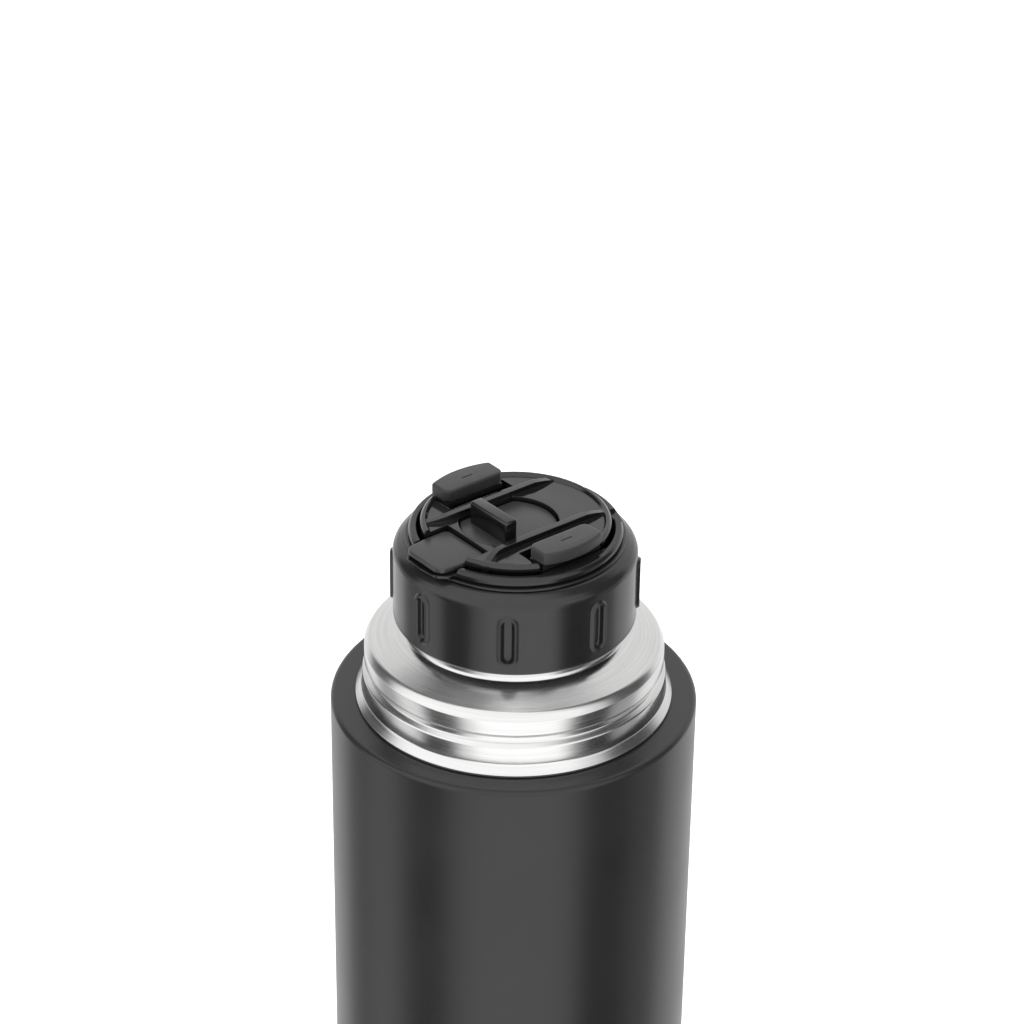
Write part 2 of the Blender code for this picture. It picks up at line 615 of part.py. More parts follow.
def grip_slug(word, index, inset, depth):
    """Upright round-ended slug across the collar wall, smaller all round by the inset."""
    half = GRIP_WIDTH / 2 - inset
    straight = GRIP_HEIGHT / 2 - GRIP_WIDTH / 2
    outline = arc((0.0, GRIP_MIDDLE + straight), half, 0, 180, 4)
    outline += arc((0.0, GRIP_MIDDLE - straight), half, 180, 360, 4)
    face = -COLLAR_RADIUS - GRIP_PROUD - inset
    item = prism(f"{word}_{index + 1}", outline, "y", face, depth, (0, 0, COLLAR_Z))
    item.rotation_euler = (0, 0, math.tau * index / GRIP_COUNT + math.radians(GRIP_TURN))
    return item


def valve_guide():
    """White cap over the bore, with side windows for the drink."""
    foot = BOWL_FLOOR + GAP
    bore = BOOT_RADIUS + SLIDE_GAP
    outline = [(bore, GUIDE_TOP), (GUIDE_RADIUS - 0.0004, GUIDE_TOP), (GUIDE_RADIUS, GUIDE_TOP - 0.0004)]
    outline += [(GUIDE_RADIUS, foot), (bore, foot)]
    item = turned_ring("valve_guide", outline, SEG_SMALL, (0, 0, COLLAR_Z))
    for name, turn in (("tool_window_x", 0.0), ("tool_window_y", 90.0)):
        window = block(name, (-0.0090, -0.0024, foot + 0.0008), (0.0090, 0.0024, foot + 0.0038),
                       (0, 0, COLLAR_Z))
        window.rotation_euler = (0, 0, math.radians(turn))
        cut(item, window)
    finish(item, WHITE_PLASTIC, 0.4)


def valve_stem():
    """Rod with a spring collar near the top and a rivet head below the disc."""
    head = PLUG_END - GAP - VALVE_DISC_WALL - GAP
    outline = [(0.0, BOOT_TOP - 0.0030), (STEM_RADIUS, BOOT_TOP - 0.0030), (STEM_RADIUS, 0.0068)]
    outline += [(0.0029, 0.0068), (0.0029, 0.0058), (STEM_RADIUS, 0.0058), (STEM_RADIUS, head)]
    outline += [(0.0028, head), (0.0024, head - 0.0008), (0.0, head - 0.0008)]
    finish(turned_solid("valve_stem", outline, SEG_PIN, (0, 0, COLLAR_Z)), BARE_STEEL, 0.3, 1.0)


def valve_boot():
    """Rubber nipple over the stem that the pour key presses."""
    bore = STEM_RADIUS + GAP
    outline = [(0.0, BOOT_TOP), (BOOT_KNOB - 0.0005, BOOT_TOP - 0.0002), (BOOT_KNOB, BOOT_TOP - 0.0008)]
    outline += [(BOOT_KNOB - 0.0003, BOOT_TOP - 0.0016), (BOOT_KNOB, BOOT_TOP - 0.0024)]
    outline += [(BOOT_RADIUS, BOOT_TOP - 0.0038), (BOOT_RADIUS, GUIDE_TOP - 0.0060)]
    outline += [(bore, GUIDE_TOP - 0.0060), (bore, BOOT_TOP - 0.0030 + GAP)]
    outline += [(0.0, BOOT_TOP - 0.0030 + GAP)]
    finish(turned_solid("valve_boot", outline, SEG_SMALL, (0, 0, COLLAR_Z)), BLACK_PLASTIC, 0.5)


def valve_disc():
    """Rubber disc that closes the bore from below."""
    top = PLUG_END - GAP
    bore = STEM_RADIUS + GAP
    outline = [(bore, top), (VALVE_DISC_RADIUS, top), (VALVE_DISC_RADIUS, top - VALVE_DISC_WALL)]
    outline += [(bore, top - VALVE_DISC_WALL)]
    finish(turned_ring("valve_disc", outline, SEG_SMALL, (0, 0, COLLAR_Z)), GASKET_GREY, 0.6)


def valve_spring():
    """Coil between the web and the stem's collar."""
    low = WEB_TOP + GAP
    item = coil_spring("valve_spring", VALVE_COIL, VALVE_WIRE, 5, 0.0058 - GAP - low,
                       (0, 0, COLLAR_Z + low))
    finish(item, BARE_STEEL, 0.3, 1.0)


# ---------------------------------------------------------------- cover insert

def cover_rib(side):
    """Upright wall along the mechanism, sloping down at both ends."""
    reach = COVER_RADIUS - 0.0036
    outline = [(-reach, COVER_PLATE_TOP - 0.0010), (-reach, -0.0002), (-RIB_FLAT, RIB_TOP)]
    outline += [(RIB_FLAT, RIB_TOP), (reach, -0.0002), (reach, COVER_PLATE_TOP - 0.0010)]
    outline += [(0.0130, -RIB_DEPTH), (-0.0130, -RIB_DEPTH)]
    low, high = sorted((side * RIB_INNER, side * RIB_OUTER))
    name = "tool_rib_right" if side > 0 else "tool_rib_left"
    return prism(name, outline, "x", low, high, (0, 0, COVER_Z))


def cover_ear(side, end):
    """Round-ended lug that carries one end of a latch pin."""
    foot = arc((side * PIVOT_X, -PIVOT_DROP), EAR_RADIUS, 180, 360, 6)
    head = [(side * PIVOT_X + EAR_RADIUS, -SKIRT_DEPTH + 0.0020),
            (side * PIVOT_X - EAR_RADIUS, -SKIRT_DEPTH + 0.0020)]
    low, high = sorted((end * EAR_INNER, end * (EAR_INNER + EAR_WALL)))
    name = f"tool_ear_{'right' if side > 0 else 'left'}_{'rear' if end > 0 else 'front'}"
    return prism(name, foot + head, "y", low, high, (0, 0, COVER_Z))


def cover_shell():
    """Disc with a rim, skirt, two ribs and four pin lugs."""
    frame = (0, 0, COVER_Z)
    under = COVER_PLATE_TOP - COVER_PLATE_WALL
    skirt_in = SKIRT_RADIUS - SKIRT_WALL
    outline = [(0.0, COVER_PLATE_TOP), (COVER_RADIUS - 0.0020, COVER_PLATE_TOP)]
    outline += [(COVER_RADIUS - 0.0014, 0.0), (COVER_RADIUS - 0.0006, 0.0), (COVER_RADIUS, -0.0006)]
    outline += [(COVER_RADIUS, -0.0018), (SKIRT_RADIUS, -0.0024), (SKIRT_RADIUS, -SKIRT_DEPTH)]
    outline += [(skirt_in, -SKIRT_DEPTH), (skirt_in, under), (0.0, under)]
    item = turned_solid("cover_shell", outline, SEG_STOPPER, frame)
    unite(item, cover_rib(1), cover_rib(-1))
    well = block("tool_well", (-RIB_INNER, WELL_FRONT, -0.0120), (RIB_INNER, WELL_REAR, 0.0020), frame)
    half = TONGUE_WIDTH / 2 + SLIDE_GAP
    slot = block("tool_tongue_slot", (-half, -TOOL_REACH, -0.0060),
                 (half, -TONGUE_BACK + GAP, 0.0030), frame)
    cut(item, well, slot)
    for side in (1, -1):
        ends = sorted((side * (BUTTON_INNER - BUTTON_ROOM), side * TOOL_REACH))
        name = "tool_button_right" if side > 0 else "tool_button_left"
        room = BUTTON_LENGTH / 2 + GAP
        cut(item, block(name, (ends[0], -room, -0.0160), (ends[1], room, 0.0030), frame))
        unite(item, cover_ear(side, 1), cover_ear(side, -1))
        hole = circle((side * PIVOT_X, -PIVOT_DROP), PIN_RADIUS + GAP, SEG_PIN)
        name = "tool_pin_right" if side > 0 else "tool_pin_left"
        cut(item, prism(name, hole, "y", -0.0130, 0.0130, frame))
    finish(item, BLACK_PLASTIC, 0.12)


def spout_tongue():
    """Flat tongue that lies over the spout."""
    half, tip = TONGUE_WIDTH / 2, TONGUE_TIP
    outline = [(half, -TONGUE_BACK), (half, -tip + 0.0070), (half - 0.0008, -tip + 0.0020)]
    outline += [(half - 0.0026, -tip), (-half + 0.0026, -tip), (-half + 0.0008, -tip + 0.0020)]
    outline += [(-half, -tip + 0.0070), (-half, -TONGUE_BACK)]
    item = prism("spout_tongue", outline, "z", TONGUE_TOP - TONGUE_WALL, TONGUE_TOP, (0, 0, COVER_Z))
    finish(item, (0.030, 0.030, 0.031), 0.35)


def pour_key():
    """Plate in the well with a rounded fin; pressing it opens the valve."""
    frame = (0, 0, COVER_Z)
    half = RIB_INNER - SLIDE_GAP
    front, rear = WELL_FRONT + SLIDE_GAP, WELL_REAR - SLIDE_GAP
    under = COVER_PLATE_TOP - COVER_PLATE_WALL - GAP
    section = [(front, KEY_TOP), (rear, KEY_TOP), (rear, under), (rear + KEY_LIP, under)]
    section += [(rear + KEY_LIP, under - 0.0012), (rear - 0.0010, under - 0.0012)]
    section += [(rear - 0.0010, KEY_FOOT), (front, KEY_FOOT)]
    item = prism("pour_key", section, "x", -half, half, frame)
    top = arc((0.0, FIN_TOP - 0.0012), 0.0012, 0, 180, 4)
    fin = [(x + (FIN_LENGTH / 2 - 0.0012) * (1 if x >= 0 else -1), z) for x, z in top]
    fin += [(-FIN_LENGTH / 2, KEY_TOP - 0.0005), (FIN_LENGTH / 2, KEY_TOP - 0.0005)]
    unite(item, prism("tool_fin", fin, "y", FIN_PLACE - FIN_WALL / 2, FIN_PLACE + FIN_WALL / 2, frame))
    finish(item, BLACK_PLASTIC, 0.2)


def latch(side, name):
    """Lever on its pin: round boss, flat outer wall, hook and a table for the button."""
    inner = LATCH_FACE - LATCH_WALL
    hook = BOWL_FLAT - GAP
    table = BUTTON_TOP - BUTTON_WALL - GAP
    boss = arc((PIVOT_X, -PIVOT_DROP), EAR_RADIUS - 0.0001, 150, 360, 7)
    outline = boss + [(LATCH_FACE, -PIVOT_DROP + 0.0012), (LATCH_FACE, -LATCH_HOOK_DROP - 0.0010)]
    outline += [(hook, -LATCH_HOOK_DROP - 0.0004), (hook, -LATCH_HOOK_DROP + 0.0006)]
    outline += [(LATCH_FACE, -LATCH_HOOK_DROP + 0.0012), (LATCH_FACE, table - 0.0012)]
    outline += [(hook, table - 0.0012), (hook, table), (BUTTON_INNER + 0.0004, table)]
    outline += [(BUTTON_INNER + 0.0004, table - 0.0012), (inner, table - 0.0012)]
    outline += [(inner, -PIVOT_DROP + 0.0026)]
    pivot = Vector((side * PIVOT_X, 0, COVER_Z - PIVOT_DROP))
    local = [(side * x - pivot.x, z + PIVOT_DROP) for x, z in outline]
    width = EAR_INNER - SLIDE_GAP
    item = prism(name, local, "y", -width, width, pivot)
    hole = circle((0.0, 0.0), PIN_RADIUS + GAP, SEG_PIN)
    cut(item, prism("tool_bore_" + name, hole, "y", -width * 1.2, width * 1.2, pivot))
    finish(item, BLACK_PLASTIC, 0.3)


def button_pad(side, name):
    """Rubber pad with a straight inner side and a curved outer side."""
    half = BUTTON_LENGTH / 2 - GAP
    angle = math.degrees(math.asin(half / BUTTON_RADIUS))
    outline = arc((0, 0), BUTTON_RADIUS, -angle, angle, 8)
    outline += [(BUTTON_INNER + 0.0008, half), (BUTTON_INNER, half - 0.0012)]
    outline += [(BUTTON_INNER, -half + 0.0012), (BUTTON_INNER + 0.0008, -half)]
    pivot = Vector((side * PIVOT_X, 0, COVER_Z - PIVOT_DROP))
    local = [(side * x - pivot.x, y) for x, y in outline]
    item = prism(name, local, "z", BUTTON_TOP - BUTTON_WALL + PIVOT_DROP, BUTTON_TOP + PIVOT_DROP, pivot)
    bevel = item.modifiers.new("edge", "BEVEL")
    bevel.width = 0.0005
    bevel.segments = 1
    bevel.limit_method = "ANGLE"
    bevel.angle_limit = math.radians(50)
    finish(item, RUBBER_GREY, 0.7)


def latch_pin(side, name):
    outline = circle((side * PIVOT_X, -PIVOT_DROP), PIN_RADIUS, SEG_PIN)
    reach = EAR_INNER + EAR_WALL
    item = prism(name, outline, "y", -reach, reach, (0, 0, COVER_Z))
    finish(item, BARE_STEEL, 0.3, 1.0)


def latch_spring(side, name):
    """Coil between the rib and the latch wall, along X."""
    start = RIB_OUTER + GAP
    length = LATCH_FACE - LATCH_WALL - GAP - start
    place = start if side > 0 else -start - length
    item = coil_spring(name, SPRING_RADIUS, SPRING_WIRE, 4, length,
                       (place, 0, COVER_Z - LATCH_HOOK_DROP), along_x=True)
    finish(item, BARE_STEEL, 0.3, 1.0)


def build():
    clear_scene()
    for make in (outer_shell, shoulder_neck, inner_liner, liner_base, foil_shield, getter,
                 outer_base, vacuum_seal, base_cap, plug_gasket, plug_body, collar_snap_ring,
                 grip_collar, valve_guide, valve_stem, valve_boot, valve_disc, valve_spring,
                 cover_shell, spout_tongue, pour_key):
        make()
    for side, word in ((1, "right"), (-1, "left")):
        latch(side, f"{word}_latch")
        button_pad(side, f"{word}_button_pad")
        latch_pin(side, f"{word}_latch_pin")
        latch_spring(side, f"{word}_latch_spring")


build()
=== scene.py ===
"""Vacuum flask with a screw-in pouring stopper: final meshes, materials, light and camera."""
import math

import bmesh
import bpy
from mathutils import Matrix, Vector


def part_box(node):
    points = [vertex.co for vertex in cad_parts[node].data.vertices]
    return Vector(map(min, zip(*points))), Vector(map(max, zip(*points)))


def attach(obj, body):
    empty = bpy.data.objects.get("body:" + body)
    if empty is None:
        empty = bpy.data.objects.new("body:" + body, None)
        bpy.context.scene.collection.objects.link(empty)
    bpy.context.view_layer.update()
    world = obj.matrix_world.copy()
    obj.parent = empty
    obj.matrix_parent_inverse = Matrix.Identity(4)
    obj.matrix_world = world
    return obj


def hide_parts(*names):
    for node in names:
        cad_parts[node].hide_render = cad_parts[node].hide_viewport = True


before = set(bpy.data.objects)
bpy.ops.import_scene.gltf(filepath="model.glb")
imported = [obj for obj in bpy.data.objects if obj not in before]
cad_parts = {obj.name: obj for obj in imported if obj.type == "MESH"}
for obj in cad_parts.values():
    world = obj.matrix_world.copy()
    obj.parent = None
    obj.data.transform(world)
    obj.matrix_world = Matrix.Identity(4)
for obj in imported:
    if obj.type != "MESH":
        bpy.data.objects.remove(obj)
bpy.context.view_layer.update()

# ------------------------------------------------------------------ places taken from the frame
# Lengths below are millimetres unless a name says otherwise.

MM = 0.001


def low(node, axis=2):
    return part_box(node)[0][axis] / MM


def high(node, axis=2):
    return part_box(node)[1][axis] / MM


BODY_R = high("outer_shell", 0)
BODY_TOP = high("outer_shell")
LIP = high("inner_liner")
COLLAR_Z = low("grip_collar")
COVER_Z = high("spout_tongue") + 1.5
LEDGE_Z = high("plug_gasket")
GASKET_FOOT = low("plug_gasket")
PIVOT_Z = (low("right_latch_pin") + high("right_latch_pin")) / 2
PIVOT_X = (low("right_latch_pin", 0) + high("right_latch_pin", 0)) / 2

# Heights of the neck's slope and of its two rolled grooves above the body's edge.
SHOULDER_Z = BODY_TOP + 14.8
UPPER_GROOVE = BODY_TOP + 29.6
LOWER_GROOVE = BODY_TOP + 22.4

# ------------------------------------------------------------------ mesh helpers


def fillet_path(points, closed=True, step=14.0):
    """Rounds each (r, z, radius) corner of a path with an arc; returns (r, z) pairs."""
    count = len(points)
    path = []
    for i, (r, z, radius) in enumerate(points):
        here = Vector((r, z))
        if radius <= 0 or (not closed and i in (0, count - 1)):
            path.append((r, z))
            continue
        before = Vector(points[i - 1][:2]) - here
        after = Vector(points[(i + 1) % count][:2]) - here
        angle = before.angle(after)
        reach = radius / math.tan(angle / 2)
        limit = 0.49 * min(before.length, after.length)
        if reach > limit:
            radius *= limit / reach
            reach = limit
        start = here + before.normalized() * reach
        end = here + after.normalized() * reach
        middle = (before.normalized() + after.normalized()).normalized()
        centre = here + middle * (radius / math.sin(angle / 2))
        turn = math.pi - angle
        steps = max(2, int(math.degrees(turn) / step) + 1)
        first = start - centre
        sign = 1 if first.x * (end - centre).y - first.y * (end - centre).x > 0 else -1
        for k in range(steps + 1):
            a = sign * turn * k / steps
            path.append((centre.x + first.x * math.cos(a) - first.y * math.sin(a),
                         centre.y + first.x * math.sin(a) + first.y * math.cos(a)))
    return path


def add_object(name, bm, smooth=35.0):
    """Turns a mesh in millimetres into an object in metres, at the origin."""
    bmesh.ops.transform(bm, matrix=Matrix.Scale(MM, 4), verts=bm.verts)
    bmesh.ops.recalc_face_normals(bm, faces=bm.faces)
    mesh = bpy.data.meshes.new(name)
    bm.to_mesh(mesh)
    bm.free()
    item = bpy.data.objects.new(name, mesh)
    bpy.context.scene.collection.objects.link(item)
    mesh.shade_smooth()
    mesh.set_sharp_from_angle(angle=math.radians(smooth))
    return item


def turned(name, outline, segments=192, closed=True, lift=0.0, push=None, smooth=35.0):
    """Spins an (r, z) outline about the axis; push(angle, r, z) may move a point outwards."""
    bm = bmesh.new()
    rings = []
    for r, z in outline:
        ring = []
        steps = 1 if r < 1e-6 else segments
        for k in range(steps):
            a = math.tau * k / segments
            out = r + (push(a, r, z) if push else 0.0)
            ring.append(bm.verts.new((out * math.cos(a), out * math.sin(a), z + lift)))
        rings.append(ring)
    pairs = list(zip(rings, rings[1:]))
    if closed:
        pairs.append((rings[-1], rings[0]))
    for one, two in pairs:
        for k in range(segments):
            j = (k + 1) % segments
            corners = [one[k % len(one)], one[j % len(one)], two[j % len(two)], two[k % len(two)]]
            corners = list(dict.fromkeys(corners))
            if len(corners) > 2:
                bm.faces.new(corners)
    return add_object(name, bm, smooth)


def prism(name, outline, axis, start, end, lift=0.0, smooth=35.0):
    """Pushes a flat outline along axis x, y or z."""
    place = {"x": lambda a, b, t: (t, a, b + lift),
             "y": lambda a, b, t: (a, t, b + lift),
             "z": lambda a, b, t: (a, b, t + lift)}[axis]
    bm = bmesh.new()
    one = [bm.verts.new(place(a, b, start)) for a, b in outline]
    two = [bm.verts.new(place(a, b, end)) for a, b in outline]
    for i in range(len(outline)):
        j = (i + 1) % len(outline)
        bm.faces.new((one[i], one[j], two[j], two[i]))
    bm.faces.new(one)
    bm.faces.new(two)
    return add_object(name, bm, smooth)


def block(name, lo, hi, lift=0.0):
    outline = [(lo[0], lo[1]), (hi[0], lo[1]), (hi[0], hi[1]), (lo[0], hi[1])]
    return prism(name, outline, "z", lo[2], hi[2], lift)


def arc(centre, radius, start, end, steps=12):
    points = []
    for i in range(steps + 1):
        a = math.radians(start + (end - start) * i / steps)
        points.append((centre[0] + radius * math.cos(a), centre[1] + radius * math.sin(a)))
    return points


def span(side, near, far):
    """Two distances from the middle as an ordered pair on the right (1) or left (-1) side."""
    return sorted((side * near, side * far))


def rounded(outline, radius, step=15.0):
    return fillet_path([(a, b, radius) for a, b in outline], True, step)


def mix_solids(target, tools, operation):
    """Applies exact Booleans one after another and removes the tools."""
    for tool in tools:
        change = target.modifiers.new("change", "BOOLEAN")
        change.operation = operation
        change.solver = "EXACT"
        change.object = tool
    apply_all(target)
    for tool in tools:
        bpy.data.objects.remove(tool, do_unlink=True)


def cut(target, *tools):
    mix_solids(target, tools, "DIFFERENCE")


def unite(target, *tools):
    mix_solids(target, tools, "UNION")


def apply_all(item):
    """Bakes an object's modifiers into its mesh."""
    graph = bpy.context.evaluated_depsgraph_get()
    mesh = bpy.data.meshes.new_from_object(item.evaluated_get(graph))
    old = item.data
    item.modifiers.clear()
    item.data = mesh
    bpy.data.meshes.remove(old)


def soften(item, width, segments=3, angle=40.0):
    """Rounds the edges of a simple solid."""
    bevel = item.modifiers.new("edges", "BEVEL")
    bevel.width = width * MM
    bevel.segments = segments
    bevel.limit_method = "ANGLE"
    bevel.angle_limit = math.radians(angle)
    bevel.use_clamp_overlap = True
    apply_all(item)
    reshade(item)


def reshade(item, smooth=35.0):
    item.data.shade_smooth()
    item.data.set_sharp_from_angle(angle=math.radians(smooth))


def wear(item, material, body, slot, *nodes):
    """Gives a piece its material, its CAD body and the CAD nodes it stands for; the finish slot argument is
    not used.
    """
    item.data.materials.clear()
    item.data.materials.append(material)
    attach(item, body)
    if nodes:
        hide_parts(*nodes)
    return item


# ------------------------------------------------------------------ materials


def math_node(tree, operation, *values):
    """Math node whose inputs are numbers or linked sockets; returns its output."""
    node = tree.nodes.new("ShaderNodeMath")
    node.operation = operation
    for socket, value in zip(node.inputs, values):
        if isinstance(value, float):
            socket.default_value = value
        else:
            tree.links.new(value, socket)
    return node.outputs[0]


class Nodes:
    """Small builder for a Principled material with object coordinates in millimetres."""

    def __init__(self, name, colour, roughness, metallic=0.0):
        self.material = bpy.data.materials.new(name)
        self.material.use_nodes = True
        self.tree = self.material.node_tree
        self.shader = self.tree.nodes["Principled BSDF"]
        self.shader.inputs["Base Color"].default_value = (*colour, 1.0)
        self.shader.inputs["Roughness"].default_value = roughness
        self.shader.inputs["Metallic"].default_value = metallic
        place = self.tree.nodes.new("ShaderNodeTexCoord").outputs["Object"]
        scale = self.tree.nodes.new("ShaderNodeVectorMath")
        scale.operation = "SCALE"
        scale.inputs["Scale"].default_value = 1 / MM
        self.tree.links.new(place, scale.inputs[0])
        self.place = scale.outputs["Vector"]

    def link(self, a, b):
        self.tree.links.new(a, b)

    def add(self, kind):
        return self.tree.nodes.new(kind)

    def math(self, operation, *values):
        return math_node(self.tree, operation, *values)

    def noise(self, scale, detail=3.0, rough=0.5, vector=None):
        node = self.add("ShaderNodeTexNoise")
        node.inputs["Scale"].default_value = scale
        node.inputs["Detail"].default_value = detail
        node.inputs["Roughness"].default_value = rough
        self.link(vector or self.place, node.inputs["Vector"])
        return node.outputs["Fac"]

    def spread(self, value, lo, hi, start=0.3, end=0.7):
        node = self.add("ShaderNodeMapRange")
        node.inputs["From Min"].default_value = start
        node.inputs["From Max"].default_value = end
        node.inputs["To Min"].default_value = lo
        node.inputs["To Max"].default_value = hi
        self.link(value, node.inputs["Value"])
        return node.outputs["Result"]

    def shade(self, value, dark, light, start=0.3, end=0.7):
        ramp = self.add("ShaderNodeValToRGB")
        ramp.color_ramp.elements[0].position = start
        ramp.color_ramp.elements[0].color = (*dark, 1.0)
        ramp.color_ramp.elements[1].position = end
        ramp.color_ramp.elements[1].color = (*light, 1.0)
        self.link(value, ramp.inputs["Fac"])
        return ramp.outputs["Color"]

    def bump(self, value, depth_mm, strength=1.0, onto=None):
        node = self.add("ShaderNodeBump")
        node.inputs["Strength"].default_value = strength
        node.inputs["Distance"].default_value = depth_mm * MM
        self.link(value, node.inputs["Height"])
        if onto is not None:
            self.link(onto, node.inputs["Normal"])
        return node.outputs["Normal"]

    def rounded_edges(self, radius_mm):
        node = self.add("ShaderNodeBevel")
        node.samples = 6
        node.inputs["Radius"].default_value = radius_mm * MM
        return node.outputs["Normal"]

    def ring_place(self, across, along):
        """Coordinates stretched round the axis, for marks that run round a turned piece."""
        split = self.add("ShaderNodeSeparateXYZ")
        self.link(self.place, split.inputs["Vector"])
        x, y, z = (split.outputs[axis] for axis in "XYZ")
        turn = self.math("ARCTAN2", y, x)
        flat = self.add("ShaderNodeCombineXYZ")
        self.link(x, flat.inputs["X"])
        self.link(y, flat.inputs["Y"])
        radius = self.add("ShaderNodeVectorMath")
        radius.operation = "LENGTH"
        self.link(flat.outputs["Vector"], radius.inputs[0])
        both = self.add("ShaderNodeCombineXYZ")
        for source, factor, target in ((turn, along, "X"), (radius.outputs["Value"], across, "Y"),
                                       (z, across, "Z")):
            self.link(self.math("MULTIPLY", source, factor), both.inputs[target])
        return both.outputs["Vector"]

    def set(self, name, value):
        self.shader.inputs[name].default_value = value

    def feed(self, name, socket):
        self.link(socket, self.shader.inputs[name])


def coat_black():
    """Fine satin powder coat with a very soft grain and faint handling marks."""
    m = Nodes("coat_black", (0.014, 0.014, 0.015), 0.30)
    grain = m.noise(1.6, 2.0, 0.5)
    patches = m.noise(0.045, 2.0, 0.5)
    m.feed("Base Color", m.shade(patches, (0.0125, 0.0125, 0.013), (0.0165, 0.0165, 0.017), 0.15, 0.85))
    m.feed("Roughness", m.spread(patches, 0.27, 0.33, 0.15, 0.85))
    m.feed("Normal", m.bump(grain, 0.002, 0.3))
    m.set("Specular IOR Level", 0.42)
    return m.material


def brushed_steel(name, roughness, tint, anisotropic, depth=0.010):
    """Steel brushed round the axis: fine level lines, soft colour variation, stretched glints."""
    m = Nodes(name, tint, roughness, 1.0)
    lines = m.noise(1.0, 5.0, 0.7, m.ring_place(9.0, 1.6))
    coarse = m.noise(1.0, 3.0, 0.6, m.ring_place(1.7, 1.1))
    cloud = m.noise(0.09, 3.0, 0.5)
    dark = tuple(c * 0.90 for c in tint)
    m.feed("Base Color", m.shade(coarse, dark, tint))
    base = m.spread(cloud, roughness - 0.03, roughness + 0.04)
    m.feed("Roughness", m.math("ADD", m.spread(lines, -0.06, 0.06), base))
    m.feed("Normal", m.bump(lines, depth, 0.5))
    tangent = m.add("ShaderNodeTangent")
    tangent.direction_type = "RADIAL"
    tangent.axis = "Z"
    m.feed("Tangent", tangent.outputs["Tangent"])
    m.set("Anisotropic", anisotropic)
    return m.material


def plastic(name, colour, roughness, edge, coat=0.0, ripple=0.010, grain=0.0):
    """Moulded plastic: slow surface ripple, slight sheen changes, rounded edges."""
    m = Nodes(name, colour, roughness)
    slow = m.noise(0.16, 2.0, 0.4)
    cloud = m.noise(0.22, 3.0, 0.55)
    lighter = tuple(min(1.0, c * 1.12 + 0.0006) for c in colour)
    m.feed("Base Color", m.shade(cloud, colour, lighter, 0.15, 0.85))
    m.feed("Roughness", m.spread(cloud, roughness * 0.92, roughness * 1.10, 0.15, 0.85))
    normal = m.rounded_edges(edge)
    normal = m.bump(slow, ripple, 0.35, normal)
    if grain:
        normal = m.bump(m.noise(9.0, 2.0, 0.6), grain, 0.8, normal)
    m.feed("Normal", normal)
    m.set("Coat Weight", coat)
    m.set("Coat Roughness", 0.06)
    m.set("Specular IOR Level", 0.5)
    return m.material


def rubber(name, colour, roughness, grain, scale=6.0):
    """Matte elastomer with a fine spark-eroded grain and dusty light patches."""
    m = Nodes(name, colour, roughness)
    spots = m.noise(scale, 4.0, 0.7)
    dust = m.noise(0.35, 4.0, 0.6)
    lighter = tuple(c * 1.35 for c in colour)
    m.feed("Base Color", m.shade(dust, colour, lighter))
    m.feed("Roughness", m.spread(spots, roughness - 0.08, roughness + 0.06))
    m.feed("Normal", m.bump(spots, grain, 0.7, m.rounded_edges(0.2)))
    m.set("Sheen Weight", 0.15)
    m.set("Sheen Roughness", 0.5)
    return m.material


MATERIAL = {
    "coat": coat_black(),
    "neck": brushed_steel("neck_steel", 0.20, (0.72, 0.72, 0.715), anisotropic=0.55),
    "lip": brushed_steel("lip_steel", 0.10, (0.86, 0.86, 0.86), anisotropic=0.2, depth=0.003),
    # liner: its tint is darkened as painted shade for the inside of the mouth and tube, which sees little
    # but itself
    "liner": brushed_steel("liner_steel_painted_shade", 0.33, (0.27, 0.267, 0.262), anisotropic=0.75, depth=0.014),
    "plain_steel": brushed_steel("plain_steel", 0.24, (0.62, 0.62, 0.61), anisotropic=0.3, depth=0.006),
    "pin": brushed_steel("pin_steel", 0.40, (0.035, 0.035, 0.037), anisotropic=0.2, depth=0.006),
    "foil": brushed_steel("bright_foil", 0.22, (0.72, 0.72, 0.73), anisotropic=0.1, depth=0.030),
    "collar": plastic("collar_plastic", (0.0110, 0.0110, 0.0115), 0.21, edge=0.20, ripple=0.006),
    "plug": plastic("plug_plastic", (0.0075, 0.0075, 0.0080), 0.16, edge=0.28, ripple=0.008),
    "cover": plastic("cover_plastic", (0.0060, 0.0060, 0.0064), 0.10, edge=0.30, coat=0.25),
    "skirt": plastic("skirt_plastic", (0.0085, 0.0085, 0.0090), 0.32, edge=0.20, grain=0.006),
    "satin": plastic("satin_plastic", (0.022, 0.022, 0.023), 0.33, edge=0.28, ripple=0.008, grain=0.006),
    "white": plastic("white_plastic", (0.80, 0.80, 0.775), 0.38, edge=0.20, ripple=0.006),
    "boot": rubber("boot_rubber", (0.010, 0.010, 0.0105), 0.42, grain=0.008),
    "pad": rubber("pad_rubber", (0.0105, 0.0105, 0.011), 0.52, grain=0.030),
    "gasket": rubber("gasket_rubber", (0.0105, 0.0105, 0.011), 0.50, grain=0.014, scale=8.0),
    "base": plastic("base_plastic", (0.020, 0.020, 0.021), 0.5, edge=0.25, ripple=0.008, grain=0.012),
}

# ------------------------------------------------------------------ flask body


def make_shell():
    edge, foot, wall = 1.3, 2.0, 0.6
    hole, bottom_hole = BODY_R - 6.4, BODY_R - 4.4
    points = [(hole, BODY_TOP, 0), (BODY_R, BODY_TOP, edge), (BODY_R, 0.0, foot)]
    points += [(bottom_hole, 0.0, 0), (bottom_hole, wall, 0), (BODY_R - wall, wall, foot - wall)]
    points += [(BODY_R - wall, BODY_TOP - wall, edge - wall), (hole, BODY_TOP - wall, 0)]
    item = turned("body_shell", fillet_path(points, step=6.0), segments=256)
    wear(item, MATERIAL["coat"], "flask", "outer_shell", "outer_shell")


